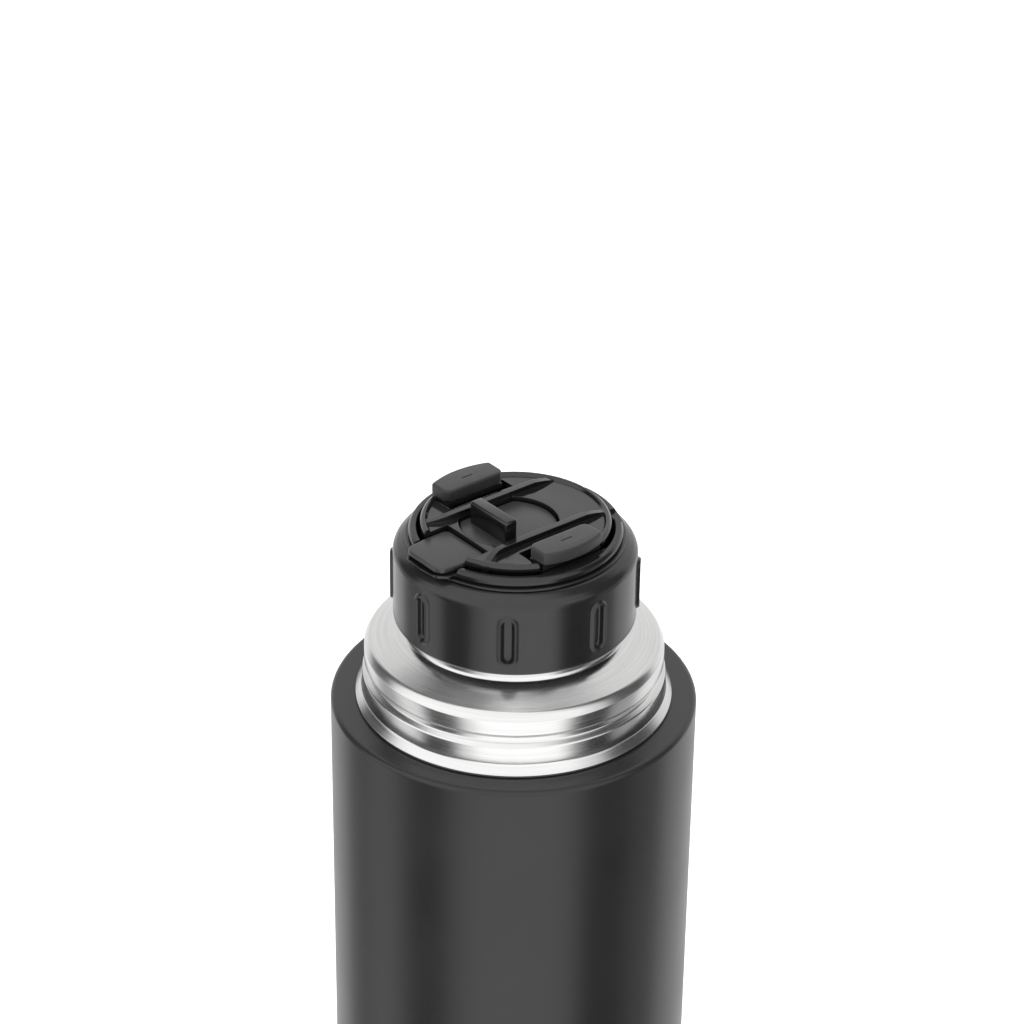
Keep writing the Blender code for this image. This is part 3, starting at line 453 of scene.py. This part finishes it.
def neck_outline():
    """Outside of the bare steel from the mouth down to the flare, then back up inside."""
    top, shoulder = LIP - 0.9, SHOULDER_Z
    upper, lower = UPPER_GROOVE, LOWER_GROOVE
    neck, band = 25.6, 35.0
    points = [(24.75, top, 0.2), (24.95, upper + 1.7, 0.6)]
    points += [(24.62, upper + 0.6, 0.8), (24.62, upper - 0.5, 0.5), (25.55, upper - 1.0, 0.5)]
    points += [(neck, lower + 1.3, 0.5), (24.75, lower + 0.7, 0.6), (24.75, lower - 0.6, 0.5)]
    points += [(25.75, lower - 1.1, 0.6), (neck + 0.1, shoulder + 4.2, 1.2)]
    points += [(band - 1.0, shoulder + 0.5, 2.2), (band, shoulder - 1.2, 0.8)]
    points += [(band + 0.05, BODY_TOP + 10.1, 0.5), (band - 0.95, BODY_TOP + 9.3, 0.6)]
    points += [(band - 0.95, BODY_TOP + 7.9, 0.5), (band + 0.45, BODY_TOP + 7.0, 0.6)]
    points += [(band + 0.60, BODY_TOP + 2.4, 1.2), (37.16, BODY_TOP + 0.75, 0.25)]
    points += [(37.16, BODY_TOP + 0.3, 0), (36.3, BODY_TOP + 0.3, 0), (36.3, BODY_TOP - 2.9, 0)]
    points += [(35.85, BODY_TOP - 2.9, 0)]
    points += [(35.0, BODY_TOP + 2.0, 0.3), (34.0, BODY_TOP + 7.0, 0.3), (33.8, shoulder - 1.5, 0.3)]
    points += [(27.0, shoulder + 1.9, 1.0), (24.5, shoulder + 3.2, 1.0), (24.42, top, 0)]
    return points


def make_neck():
    item = turned("neck_shoulder", fillet_path(neck_outline(), step=9.0), segments=256, smooth=50.0)
    wear(item, MATERIAL["neck"], "flask", "shoulder_neck", "shoulder_neck")


def make_liner():
    """Mouth tube with ledge and seat, and the wide tube below."""
    throat = GASKET_FOOT - 2.0
    belly = throat - 19.0
    floor = low("inner_liner")
    mouth, wall = 23.65, 0.45
    inside = [(mouth, LIP - 1.3, 0.3), (mouth, LEDGE_Z + 0.9, 0.3), (mouth - 1.0, LEDGE_Z, 0.4)]
    inside += [(20.75, LEDGE_Z, 0.2), (18.15, GASKET_FOOT, 0.3), (18.15, throat, 1.0)]
    inside += [(32.4, belly + 8.5, 5.0), (38.4, belly, 6.0), (38.4, floor, 0)]
    outside = [(38.85, floor, 0), (38.85, belly, 6.0), (32.6, belly + 9.0, 5.0)]
    outside += [(18.6, throat + 0.3, 0.8), (18.6, GASKET_FOOT - 0.2, 0.3), (21.2, LEDGE_Z - wall, 0.2)]
    outside += [(23.3, LEDGE_Z - wall, 0.3), (24.1, LEDGE_Z + 0.6, 0.3), (24.1, LIP - 1.3, 0.1)]
    item = turned("liner_tube", fillet_path(inside + outside, step=9.0), smooth=50.0)
    # The liner steel carries painted shade: its tint is darkened for the inside of the mouth.
    wear(item, MATERIAL["liner"], "flask", "inner_liner", "inner_liner")


def make_lip():
    """Polished rolled edge of the mouth, where the two tubes meet."""
    points = [(23.66, LIP - 1.25, 0), (23.66, LIP - 0.1, 0.25), (24.05, LIP, 0.25)]
    points += [(24.72, LIP - 0.35, 0.3), (24.74, LIP - 0.86, 0)]
    points += [(24.2, LIP - 0.86, 0), (24.15, LIP - 1.25, 0)]
    item = turned("mouth_lip", fillet_path(points, step=12.0), segments=256, smooth=60.0)
    wear(item, MATERIAL["lip"], "flask", "inner_liner")


def make_base():
    """Bottom disc with a shallow raised ring, under the dished steel bottom."""
    edge = high("base_cap", 0)
    foot, top = low("base_cap"), high("base_cap")
    points = [(0, top, 0), (edge - 1.2, top, 0.2), (edge, foot + 0.9, 0.3), (edge - 0.4, foot, 0.4)]
    points += [(25.0, foot, 0.3), (24.6, foot + 0.5, 0.3), (23.0, foot + 0.5, 0.3)]
    points += [(22.6, foot, 0.3), (0, foot, 0)]
    item = turned("bottom_disc", fillet_path(points, closed=False, step=15.0), closed=False)
    wear(item, MATERIAL["base"], "flask", "base_cap", "base_cap")


# ------------------------------------------------------------------ gasket


def make_gasket():
    top, foot = LEDGE_Z, GASKET_FOOT
    points = [(17.3, top, 0.25), (20.4, top, 0.25), (20.33, top - 0.5, 0.2), (17.85, foot, 0.35)]
    points += [(14.75, foot, 0.3), (14.75, foot + 1.0, 0.35), (17.25, foot + 1.0, 0.5)]
    item = turned("tapered_gasket", fillet_path(points, step=12.0))
    wear(item, MATERIAL["gasket"], "gasket", "plug_gasket", "plug_gasket")


# ------------------------------------------------------------------ collar

GRIP_COUNT = 8
GRIP_TURN = math.radians(3.0)
GRIP_MIDDLE = 9.1
GRIP_HALF_HEIGHT = 6.4
GRIP_HALF_WIDTH = 2.15
COLLAR_R = 28.2


def blend_step(value, start, end):
    t = min(1.0, max(0.0, (value - start) / (end - start)))
    return t * t * (3 - 2 * t)


def grip_push(angle, r, z):
    """Raised border and sunk floor of each long grip, on the collar's outer wall only."""
    if r < COLLAR_R - 0.3 or not 1.0 < z < 17.0:
        return 0.0
    pitch = math.tau / GRIP_COUNT
    first = -math.pi / 2 + GRIP_TURN
    across = (angle - first + pitch / 2) % pitch - pitch / 2
    along = max(0.0, abs(z - GRIP_MIDDLE) - (GRIP_HALF_HEIGHT - GRIP_HALF_WIDTH))
    inside = GRIP_HALF_WIDTH - math.hypot(across * COLLAR_R, along)
    rise = 0.68 * blend_step(inside, -0.22, 0.20)
    drop = 1.55 * blend_step(inside, 0.55, 1.25)
    return rise - drop


def make_collar():
    wall = 17.0
    lower = [(26.2, 0.0, 0.3), (27.7, 0.0, 0.5), (COLLAR_R, 0.7, 0.4)]
    rows = int((wall - 0.9) / 0.2)
    side = [(COLLAR_R, 0.9 + (wall - 0.9) * i / rows, 0) for i in range(rows + 1)]
    dome = [(27.95, wall + 0.9, 1.2), (27.2, wall + 1.9, 1.2), (25.9, wall + 2.9, 1.0)]
    dome += [(25.35, wall + 3.2, 0.2), (24.95, wall + 3.2, 0), (24.95, 14.5, 0)]
    ridge = UPPER_GROOVE - COLLAR_Z
    inside = [(26.2, 14.5, 0.3), (26.2, ridge + 0.8, 0.2), (25.95, ridge + 0.3, 0.1)]
    inside += [(25.95, ridge - 0.3, 0.1), (26.2, ridge - 0.8, 0.2)]
    outline = fillet_path(lower + side + dome + inside, step=12.0)
    item = turned("collar_grip", outline, segments=896, lift=COLLAR_Z, push=grip_push, smooth=60.0)
    wear(item, MATERIAL["collar"], "collar", "grip_collar", "grip_collar")


# ------------------------------------------------------------------ plug

SPOUT_HALF = 7.4
CHANNEL_HALF = 4.6


def plug_outline():
    points = [(22.75, 23.2, 0.25), (24.1, 23.2, 0.5), (24.6, 22.4, 0.5), (24.6, 21.4, 0.1)]
    points += [(23.7, 21.4, 0), (23.7, 20.2, 0), (24.5, 20.2, 0), (24.5, 14.2, 0.2), (25.6, 14.2, 0.2)]
    points += [(25.6, 13.0, 0.2), (23.2, 13.0, 0.2), (23.2, 6.5, 0.5), (18.0, 5.3, 0.5), (18.0, -8.7, 0.15)]
    points += [(16.5, -8.7, 0.1), (16.5, -10.0, 0.1), (21.0, -10.0, 0.35), (21.0, -12.9, 0.35)]
    points += [(17.0, -12.9, 0.2), (17.0, -15.0, 0.1), (16.75, -15.1, 0.1), (16.75, -15.7, 0.1)]
    points += [(17.0, -15.8, 0.1), (17.0, -17.9, 0.5), (5.0, -17.9, 0.3)]
    points += [(5.0, -8.0, 0), (1.6, -8.0, 0), (1.6, -6.5, 0)]
    points += [(5.0, -6.5, 0), (5.0, 8.0, 0.2), (9.2, 8.0, 0.1), (9.2, 8.7, 0.2), (10.0, 8.7, 0.2)]
    points += [(10.0, 8.0, 0.2), (15.6, 8.0, 0.2), (15.6, 9.2, 0.3), (21.6, 9.2, 0.5)]
    points += [(21.6, 12.9, 0.3), (22.75, 12.9, 0)]
    return points


def flat_wall(side):
    """Thickens the bowl's round wall inward to the flat that faces a button."""
    reach = 23.6
    half = math.degrees(math.acos(20.5 / reach))
    outline = [(side * x, y) for x, y in arc((0, 0), reach, -half, half, 24)]
    return prism("flat_wall", outline, "z", 12.9, 23.1, COLLAR_Z)


def spout_lip():
    """Tapered lip that reaches out over the collar's dome."""
    outline = [(-SPOUT_HALF, -21.6), (-SPOUT_HALF, -25.1), (-5.4, -27.2), (0, -27.6), (5.4, -27.2)]
    outline += [(SPOUT_HALF, -25.1), (SPOUT_HALF, -21.6)]
    return prism("spout_lip", rounded(outline, 1.4), "z", 21.3, 22.4, COLLAR_Z)


def make_plug():
    item = turned("plug_bowl", fillet_path(plug_outline(), step=15.0), lift=COLLAR_Z)
    unite(item, flat_wall(1), flat_wall(-1), spout_lip())
    opening = block("opening", (-SPOUT_HALF - 0.4, -30, 21.95), (SPOUT_HALF + 0.4, -17.5, 30), COLLAR_Z)
    channel = block("channel", (-CHANNEL_HALF, -30, 21.6), (CHANNEL_HALF, -17.5, 30), COLLAR_Z)
    gate = block("gate", (-3.6, -23.6, 16.4), (3.6, -17.5, 30), COLLAR_Z)
    notch = block("notch", (-8.4, 19.8, 22.0), (-3.6, 30, 30), COLLAR_Z)
    small = block("small_notch", (8.0, 19.8, 22.4), (13.5, 30, 30), COLLAR_Z)
    tools = [opening, channel, gate, notch, small]
    middle = COVER_Z - COLLAR_Z - 6.1
    for side in (1, -1):
        near, far = span(side, 20.0, 21.7)
        tools.append(block("pocket", (near, -5.5, middle - 1.2), (far, 5.5, middle + 1.2), COLLAR_Z))
    cut(item, *tools)
    reshade(item)
    wear(item, MATERIAL["plug"], "plug", "plug_body", "plug_body")
    outline = fillet_path([(0, 10.9, 0), (1.5, 10.9, 0.3), (1.5, 8.9, 0), (0, 8.9, 0)], closed=False)
    boss = turned("bowl_boss", outline, segments=32, closed=False, lift=COLLAR_Z)
    boss.data.transform(Matrix.Translation((11.5 * MM, 14.6 * MM, 0.35 * MM)))
    wear(boss, MATERIAL["plug"], "plug", "plug_body")


def make_snap_ring():
    points = [(24.0, 20.5, 0.05), (24.0, 21.0, 0.05), (25.4, 21.0, 0.15), (25.45, 20.5, 0.05)]
    item = turned("snap_ring", fillet_path(points, step=30.0), lift=COLLAR_Z)
    wear(item, MATERIAL["plug"], "plug", "collar_snap_ring", "collar_snap_ring")


def make_valve_cap():
    """White cap with four side windows, a fine line across its top and a step round the nipple."""
    points = [(3.6, 16.2, 0.1), (4.0, 16.2, 0.1), (4.1, 16.55, 0.1), (7.05, 16.55, 0.35)]
    points += [(7.05, 8.3, 0.2), (3.6, 8.3, 0)]
    item = turned("valve_cap", fillet_path(points, step=15.0), segments=96, lift=COLLAR_Z)
    tools = []
    for turn in (0, 90):
        window = block("window", (-9, -2.4, 9.1), (9, 2.4, 12.1), COLLAR_Z)
        window.data.transform(Matrix.Rotation(math.radians(turn), 4, "Z"))
        tools.append(window)
    mark = block("mark", (-6.3, -0.22, 16.3), (6.3, 0.22, 17.0), COLLAR_Z)
    mark.data.transform(Matrix.Rotation(math.radians(51), 4, "Z"))
    tools.append(mark)
    cut(item, *tools)
    reshade(item)
    wear(item, MATERIAL["white"], "plug", "valve_guide", "valve_guide")


def make_boot():
    """Rubber nipple: rounded knob on a waisted cone."""
    top = high("valve_boot") - COLLAR_Z
    points = [(0, top, 0), (1.3, top - 0.05, 0.8), (2.1, top - 0.8, 0.5), (1.85, top - 1.7, 0.5)]
    points += [(2.25, top - 2.6, 0.6), (3.2, top - 4.0, 0.5), (3.2, 10.6, 0.1), (1.5, 10.6, 0)]
    points += [(1.5, top - 2.6, 0), (0, top - 2.6, 0)]
    outline = fillet_path(points, closed=False, step=15.0)
    item = turned("valve_nipple", outline, segments=72, closed=False, lift=COLLAR_Z)
    wear(item, MATERIAL["boot"], "valve", "valve_boot", "valve_boot")


# ------------------------------------------------------------------ cover insert

RIB_MIDDLE = 9.45
RIB_WIDTH = 1.6
RIB_FOOT = -8.9
TONGUE_BACK = 14.3
WELL_HALF, WELL_RADIUS = 8.6, 11.6
KEY_HALF, KEY_RADIUS = 8.2, 11.2
WELL_MIDDLE = -2.0
EAR_RADIUS = 2.25


def swept_wall(name, path, width, foot):
    """Upright wall along (x, y, top) points, level at the foot."""
    bm = bmesh.new()
    rows = []
    for i, (x, y, top) in enumerate(path):
        before = Vector(path[max(0, i - 1)][:2])
        after = Vector(path[min(len(path) - 1, i + 1)][:2])
        ahead = (after - before).normalized()
        out = Vector((ahead.y, -ahead.x)) * (width / 2)
        corners = ((x - out.x, y - out.y, foot), (x - out.x, y - out.y, top),
                   (x + out.x, y + out.y, top), (x + out.x, y + out.y, foot))
        rows.append([bm.verts.new((a, b, c + COVER_Z)) for a, b, c in corners])
    for one, two in zip(rows, rows[1:]):
        for k in range(4):
            j = (k + 1) % 4
            bm.faces.new((one[k], one[j], two[j], two[k]))
    bm.faces.new(rows[0])
    bm.faces.new(rows[-1])
    return add_object(name, bm)


def rib_path(side):
    """Straight in the middle, flaring out and sloping down at the front, straight down behind."""
    points = [(11.9, -18.3, -0.5), (11.0, -16.6, -0.1), (10.1, -14.8, 0.35), (9.6, -13.2, 0.65)]
    points += [(RIB_MIDDLE, y, top) for y, top in ((-11.5, 0.8), (12.6, 0.8), (15.2, 0.35), (18.3, -0.45))]
    return [(side * x, y, top) for x, y, top in points]


def cover_outline():
    points = [(0, -0.35, 0), (12.0, -0.45, 3.0), (20.2, -0.75, 0.3), (20.7, -0.05, 0.25), (21.3, 0.0, 0.3)]
    points += [(21.9, -0.55, 0.5), (21.9, -1.8, 0.3), (21.2, -2.3, 0.2)]
    points += [(21.2, -2.9, 0.15), (20.9, -3.1, 0.15)]
    points += [(20.9, -10.8, 0.25), (19.6, -10.8, 0.25), (19.6, -2.2, 0.3), (0, -2.2, 0)]
    return points


def well_outline(half, radius):
    """Straight sides along the ribs and a curved end in front and behind; the key has it too."""
    reach = math.degrees(math.asin(half / radius))
    front = arc((0, WELL_MIDDLE), radius, 270 - reach, 270 + reach, 12)
    rear = arc((0, WELL_MIDDLE), radius, 90 - reach, 90 + reach, 12)
    return front + rear


def ear(side, end):
    """Lug with a round foot that carries one end of a latch pin."""
    foot = arc((side * PIVOT_X, PIVOT_Z - COVER_Z), EAR_RADIUS, 180, 360, 14)
    head = [(side * PIVOT_X + EAR_RADIUS, -9.0), (side * PIVOT_X - EAR_RADIUS, -9.0)]
    near, far = span(end, 8.6, 10.2)
    return prism("ear", foot + head, "y", near, far, COVER_Z)


def make_cover():
    outline = fillet_path(cover_outline(), closed=False, step=15.0)
    item = turned("cover_disc", outline, closed=False, lift=COVER_Z)
    unite(item, *[swept_wall("rib", rib_path(side), RIB_WIDTH, RIB_FOOT) for side in (1, -1)])
    tools = [prism("well", well_outline(WELL_HALF, WELL_RADIUS), "z", -12.0, 3.0, COVER_Z)]
    tools.append(block("tongue_slot", (-7.5, -30, -6.0), (7.5, -TONGUE_BACK + 0.3, 3.0), COVER_Z))
    for side in (-1, 1):
        near, far = span(side, 7.2, 8.6)
        tools.append(block("skirt_slit", (near, -24, -12.0), (far, -19.0, -3.2), COVER_Z))
    cut(item, *tools)
    for side in (1, -1):
        near, far = span(side, 12.4, 26.0)
        cut(item, block("button_room", (near, -9.05, -16.0), (far, 9.05, 3.0), COVER_Z))
        unite(item, ear(side, 1), ear(side, -1))
        hole = arc((side * PIVOT_X, PIVOT_Z - COVER_Z), 1.3, 0, 360, 20)[:-1]
        cut(item, prism("pin_hole", hole, "y", -13.0, 13.0, COVER_Z))
    reshade(item)
    wear(item, MATERIAL["cover"], "cover", "cover_shell", "cover_shell")


def make_tongue():
    """Flat satin tongue with rounded corners, on a stepped root between the ribs."""
    half, tip = 7.0, -low("spout_tongue", 1)
    top = high("spout_tongue") - COVER_Z
    outline = [(half, -TONGUE_BACK), (half, -20.5), (half - 0.6, -tip + 1.0), (half - 2.4, -tip)]
    outline += [(-half + 2.4, -tip), (-half + 0.6, -tip + 1.0), (-half, -20.5), (-half, -TONGUE_BACK)]
    item = prism("tongue_plate", rounded(outline, 1.6), "z", top - 1.35, top, COVER_Z)
    soften(item, 0.35, 3)
    wear(item, MATERIAL["satin"], "cover", "spout_tongue", "spout_tongue")
    backing = block("tongue_backing", (-half - 0.2, -15.4, -9.4), (half + 0.2, -14.6, top - 1.4), COVER_Z)
    wear(backing, MATERIAL["skirt"], "cover", "spout_tongue")
    for x in (-3.2, 0.2):
        leg = block("leg", (x, -16.8, -9.6), (x + 1.2, -15.0, top - 1.2), COVER_Z)
        foot = block("leg_foot", (x - 0.4, -17.6, -9.6), (x + 1.6, -15.0, -8.2), COVER_Z)
        unite(leg, foot)
        leg.name = f"tongue_leg_{'left' if x < 0 else 'right'}"
        soften(leg, 0.15, 2)
        wear(leg, MATERIAL["skirt"], "cover", "spout_tongue")


def make_key():
    """Key plate with curved ends and a fin across it."""
    foot = low("pour_key") - COVER_Z
    plate = prism("key_plate", well_outline(KEY_HALF, KEY_RADIUS), "z", foot, -1.4, COVER_Z)
    soften(plate, 0.3, 3)
    wear(plate, MATERIAL["satin"], "key", "pour_key", "pour_key")
    top = high("pour_key") - COVER_Z
    side = [(-6.65, -1.8), (6.65, -1.8), (6.65, top), (-6.65, top)]
    fin = prism("key_fin", rounded(side, 0.6, 30.0), "y", -8.2, -4.9, COVER_Z)
    soften(fin, 1.25, 6, 50.0)
    wear(fin, MATERIAL["cover"], "key", "pour_key")


def make_button(side, word):
    """Rubber pad with a straight inner side, a curved outer side and a small dash."""
    half = high(f"{word}_button_pad", 1)
    top = high(f"{word}_button_pad") - COVER_Z
    foot = low(f"{word}_button_pad") - COVER_Z
    radius, inner = 22.3, 14.8
    reach = math.degrees(math.asin(half / radius))
    outline = arc((0, 0), radius, -reach, reach, 20) + [(inner, half), (inner, -half)]
    corners = {0: 1.2, 20: 1.2, 21: 1.8, 22: 1.8}
    outline = fillet_path([(x, y, corners.get(i, 0)) for i, (x, y) in enumerate(outline)], True, 15.0)
    outline = [(side * x, y) for x, y in outline]
    item = prism(f"{word}_pad", outline, "z", foot, top, COVER_Z)
    soften(item, 0.75, 5, 50.0)
    near, far = span(side, 17.9, 18.3)
    cut(item, block("dash", (near, -1.5, top - 0.18), (far, 1.5, top + 1), COVER_Z))
    reshade(item)
    wear(item, MATERIAL["pad"], f"{word}_latch", f"{word}_button_pad", f"{word}_button_pad")


KEPT_FINISHES = {
    "skirt": ("right_latch", "left_latch"),
    # liner_base shares the liner steel, darkened as painted shade for the inside of the flask.
    "liner": ("liner_base",),
    "foil": ("foil_shield",),
    "gasket": ("valve_disc",),
    "pin": ("right_latch_pin", "left_latch_pin"),
    "plain_steel": ("getter", "outer_base", "vacuum_seal", "valve_stem", "valve_spring",
                    "right_latch_spring", "left_latch_spring"),
}


def carry_over():
    """Procedural finishes for the CAD nodes that stay."""
    for finish, nodes in KEPT_FINISHES.items():
        for node in nodes:
            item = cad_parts[node]
            for place in item.material_slots:
                place.material = MATERIAL[finish]
            if not item.material_slots:
                item.data.materials.append(MATERIAL[finish])


# ------------------------------------------------------------------ stage, light and camera


# Angles in degrees; distances, sizes and heights here are metres, except where MM is used.
CAMERA_AZIMUTH = 51.0
CAMERA_ELEVATION = 29.87
CAMERA_DISTANCE = 0.7539
CAMERA_LENS = 116.25
CAMERA_ROLL = 0.72
CAMERA_SIDE = -0.0009
TARGET_HEIGHT = (BODY_TOP - 3.0 + 51.06) * MM
CLIP_START, CLIP_END = 0.01, 50.0

FLOOR_FRONT, FLOOR_HALF_WIDTH, FLOOR_CURVE, BACKDROP_HEIGHT = -3.0, 4.0, 1.2, 4.0
FLOOR_DROP = 0.0001

# Name, azimuth from the camera's, elevation, distance, size, power in watts.
SOFT_BOXES = (("top_box", 150, 72, 1.3, 1.2, 16.0),
              ("fill_left", -70, 35, 1.3, 0.9, 5.0),
              ("fill_right", 60, 35, 1.3, 0.9, 4.0))
SOFT_BOX_AIM = 0.30

# World brightness below and above the horizon, then bands of (brightness, middle, half width).
BELOW, ABOVE = 1.05, 0.95
BELOW_BANDS = ((0.45, -112.0, 14.0), (0.42, 93.0, 15.0), (0.06, -56.0, 15.0),
               (0.04, 62.0, 17.0), (1.50, 5.0, 33.0))
ABOVE_BANDS = ((1.35, -20.0, 75.0), (0.08, -113.0, 16.0), (0.08, 94.0, 22.0))
HORIZON_START, HORIZON_END = -0.20, 0.12


def plain_material(name, colour, roughness):
    material = bpy.data.materials.new(name)
    material.use_nodes = True
    shader = material.node_tree.nodes["Principled BSDF"]
    shader.inputs["Base Color"].default_value = (*colour, 1.0)
    shader.inputs["Roughness"].default_value = roughness
    shader.inputs["Specular IOR Level"].default_value = 0.1
    return material


def make_stage():
    """Pale floor that curves up into a backdrop behind the flask, as seen by the camera."""
    curve = arc((FLOOR_CURVE, FLOOR_CURVE), FLOOR_CURVE, -90, 0, 16)
    outline = [(FLOOR_FRONT, 0.0), *curve, (2 * FLOOR_CURVE, BACKDROP_HEIGHT)]
    bm = bmesh.new()
    sides = (-FLOOR_HALF_WIDTH, FLOOR_HALF_WIDTH)
    rows = [[bm.verts.new((x, y, z - FLOOR_DROP)) for y, z in outline] for x in sides]
    for i in range(len(outline) - 1):
        bm.faces.new((rows[0][i], rows[0][i + 1], rows[1][i + 1], rows[1][i]))
    mesh = bpy.data.meshes.new("studio_floor")
    bm.to_mesh(mesh)
    bm.free()
    floor = bpy.data.objects.new("studio_floor", mesh)
    bpy.context.scene.collection.objects.link(floor)
    floor.rotation_euler = (0, 0, math.radians(CAMERA_AZIMUTH))
    mesh.shade_smooth()
    floor.data.materials.append(plain_material("floor_paper", (0.93, 0.93, 0.93), 0.9))
    floor.visible_glossy = False


def direction(azimuth, elevation):
    a, e = math.radians(azimuth), math.radians(elevation)
    return Vector((math.sin(a) * math.cos(e), -math.cos(a) * math.cos(e), math.sin(e)))


def make_camera():
    data = bpy.data.cameras.new("camera")
    data.lens = CAMERA_LENS
    data.sensor_width = 36.0
    data.clip_start = CLIP_START
    data.clip_end = CLIP_END
    camera = bpy.data.objects.new("camera", data)
    bpy.context.scene.collection.objects.link(camera)
    back = direction(CAMERA_AZIMUTH, CAMERA_ELEVATION)
    side = direction(CAMERA_AZIMUTH + 90.0, 0.0) * CAMERA_SIDE
    camera.location = Vector((0, 0, TARGET_HEIGHT)) + back * CAMERA_DISTANCE + side
    camera.rotation_mode = "QUATERNION"
    roll = Matrix.Rotation(math.radians(CAMERA_ROLL), 4, "Z").to_quaternion()
    camera.rotation_quaternion = (-back).to_track_quat("-Z", "Y") @ roll
    bpy.context.scene.camera = camera


def soft_box(name, azimuth, elevation, distance, size, power):
    """Square light aimed at the axis, kept out of reflections; azimuth is counted from the camera's."""
    data = bpy.data.lights.new(name, "AREA")
    data.shape = "SQUARE"
    data.size = size
    data.energy = power
    light = bpy.data.objects.new(name, data)
    bpy.context.scene.collection.objects.link(light)
    back = direction(CAMERA_AZIMUTH + azimuth, elevation)
    light.location = Vector((0, 0, SOFT_BOX_AIM)) + back * distance
    light.rotation_mode = "QUATERNION"
    light.rotation_quaternion = (-back).to_track_quat("-Z", "Y")
    light.visible_glossy = False


class Sky:
    """World brightness by direction: white studio walls with soft dark flags and a front soft box."""

    def __init__(self, tree):
        self.tree = tree
        ray = tree.nodes.new("ShaderNodeTexCoord").outputs["Generated"]
        turn = tree.nodes.new("ShaderNodeVectorRotate")
        turn.rotation_type = "Z_AXIS"
        turn.inputs["Angle"].default_value = math.radians(90.0 - CAMERA_AZIMUTH)
        tree.links.new(ray, turn.inputs["Vector"])
        split = tree.nodes.new("ShaderNodeSeparateXYZ")
        tree.links.new(turn.outputs["Vector"], split.inputs["Vector"])
        self.height = split.outputs["Z"]
        self.side = self.math("ARCTAN2", split.outputs["Y"], split.outputs["X"])

    def math(self, operation, *values):
        return math_node(self.tree, operation, *values)

    def step(self, value, start, end):
        node = self.tree.nodes.new("ShaderNodeMapRange")
        node.interpolation_type = "SMOOTHSTEP"
        node.inputs["From Min"].default_value = start
        node.inputs["From Max"].default_value = end
        self.tree.links.new(value, node.inputs["Value"])
        return node.outputs["Result"]

    def mix(self, a, b, amount):
        """a + (b - a) * amount"""
        return self.math("ADD", a, self.math("MULTIPLY", self.math("SUBTRACT", b, a), amount))

    def band(self, base, level, middle, half, soft=5.0):
        """Sets the brightness to level within half degrees of middle, counted from the camera."""
        away = self.math("ABSOLUTE", self.math("SUBTRACT", self.side, math.radians(middle)))
        outside = self.step(away, math.radians(half - soft), math.radians(half + soft))
        return self.mix(level, base, outside)


def make_sky():
    world = bpy.data.worlds.new("studio")
    bpy.context.scene.world = world
    world.use_nodes = True
    sky = Sky(world.node_tree)
    below, above = BELOW, ABOVE
    for level, middle, half in BELOW_BANDS:
        below = sky.band(below, level, middle, half)
    for level, middle, half in ABOVE_BANDS:
        above = sky.band(above, level, middle, half)
    light = sky.mix(below, above, sky.step(sky.height, HORIZON_START, HORIZON_END))
    backdrop = world.node_tree.nodes["Background"]
    backdrop.inputs["Color"].default_value = (1.0, 1.0, 1.0, 1.0)
    world.node_tree.links.new(light, backdrop.inputs["Strength"])


def make_light():
    """World, soft boxes and the plain view transform."""
    make_sky()
    for values in SOFT_BOXES:
        soft_box(*values)
    bpy.context.scene.view_settings.view_transform = "Standard"


make_shell()
make_neck()
make_liner()
make_lip()
make_base()
make_gasket()
make_collar()
make_plug()
make_snap_ring()
make_valve_cap()
make_boot()
make_cover()
make_tongue()
make_key()
for side, word in ((1, "right"), (-1, "left")):
    make_button(side, word)
carry_over()
make_stage()
make_camera()
make_light()
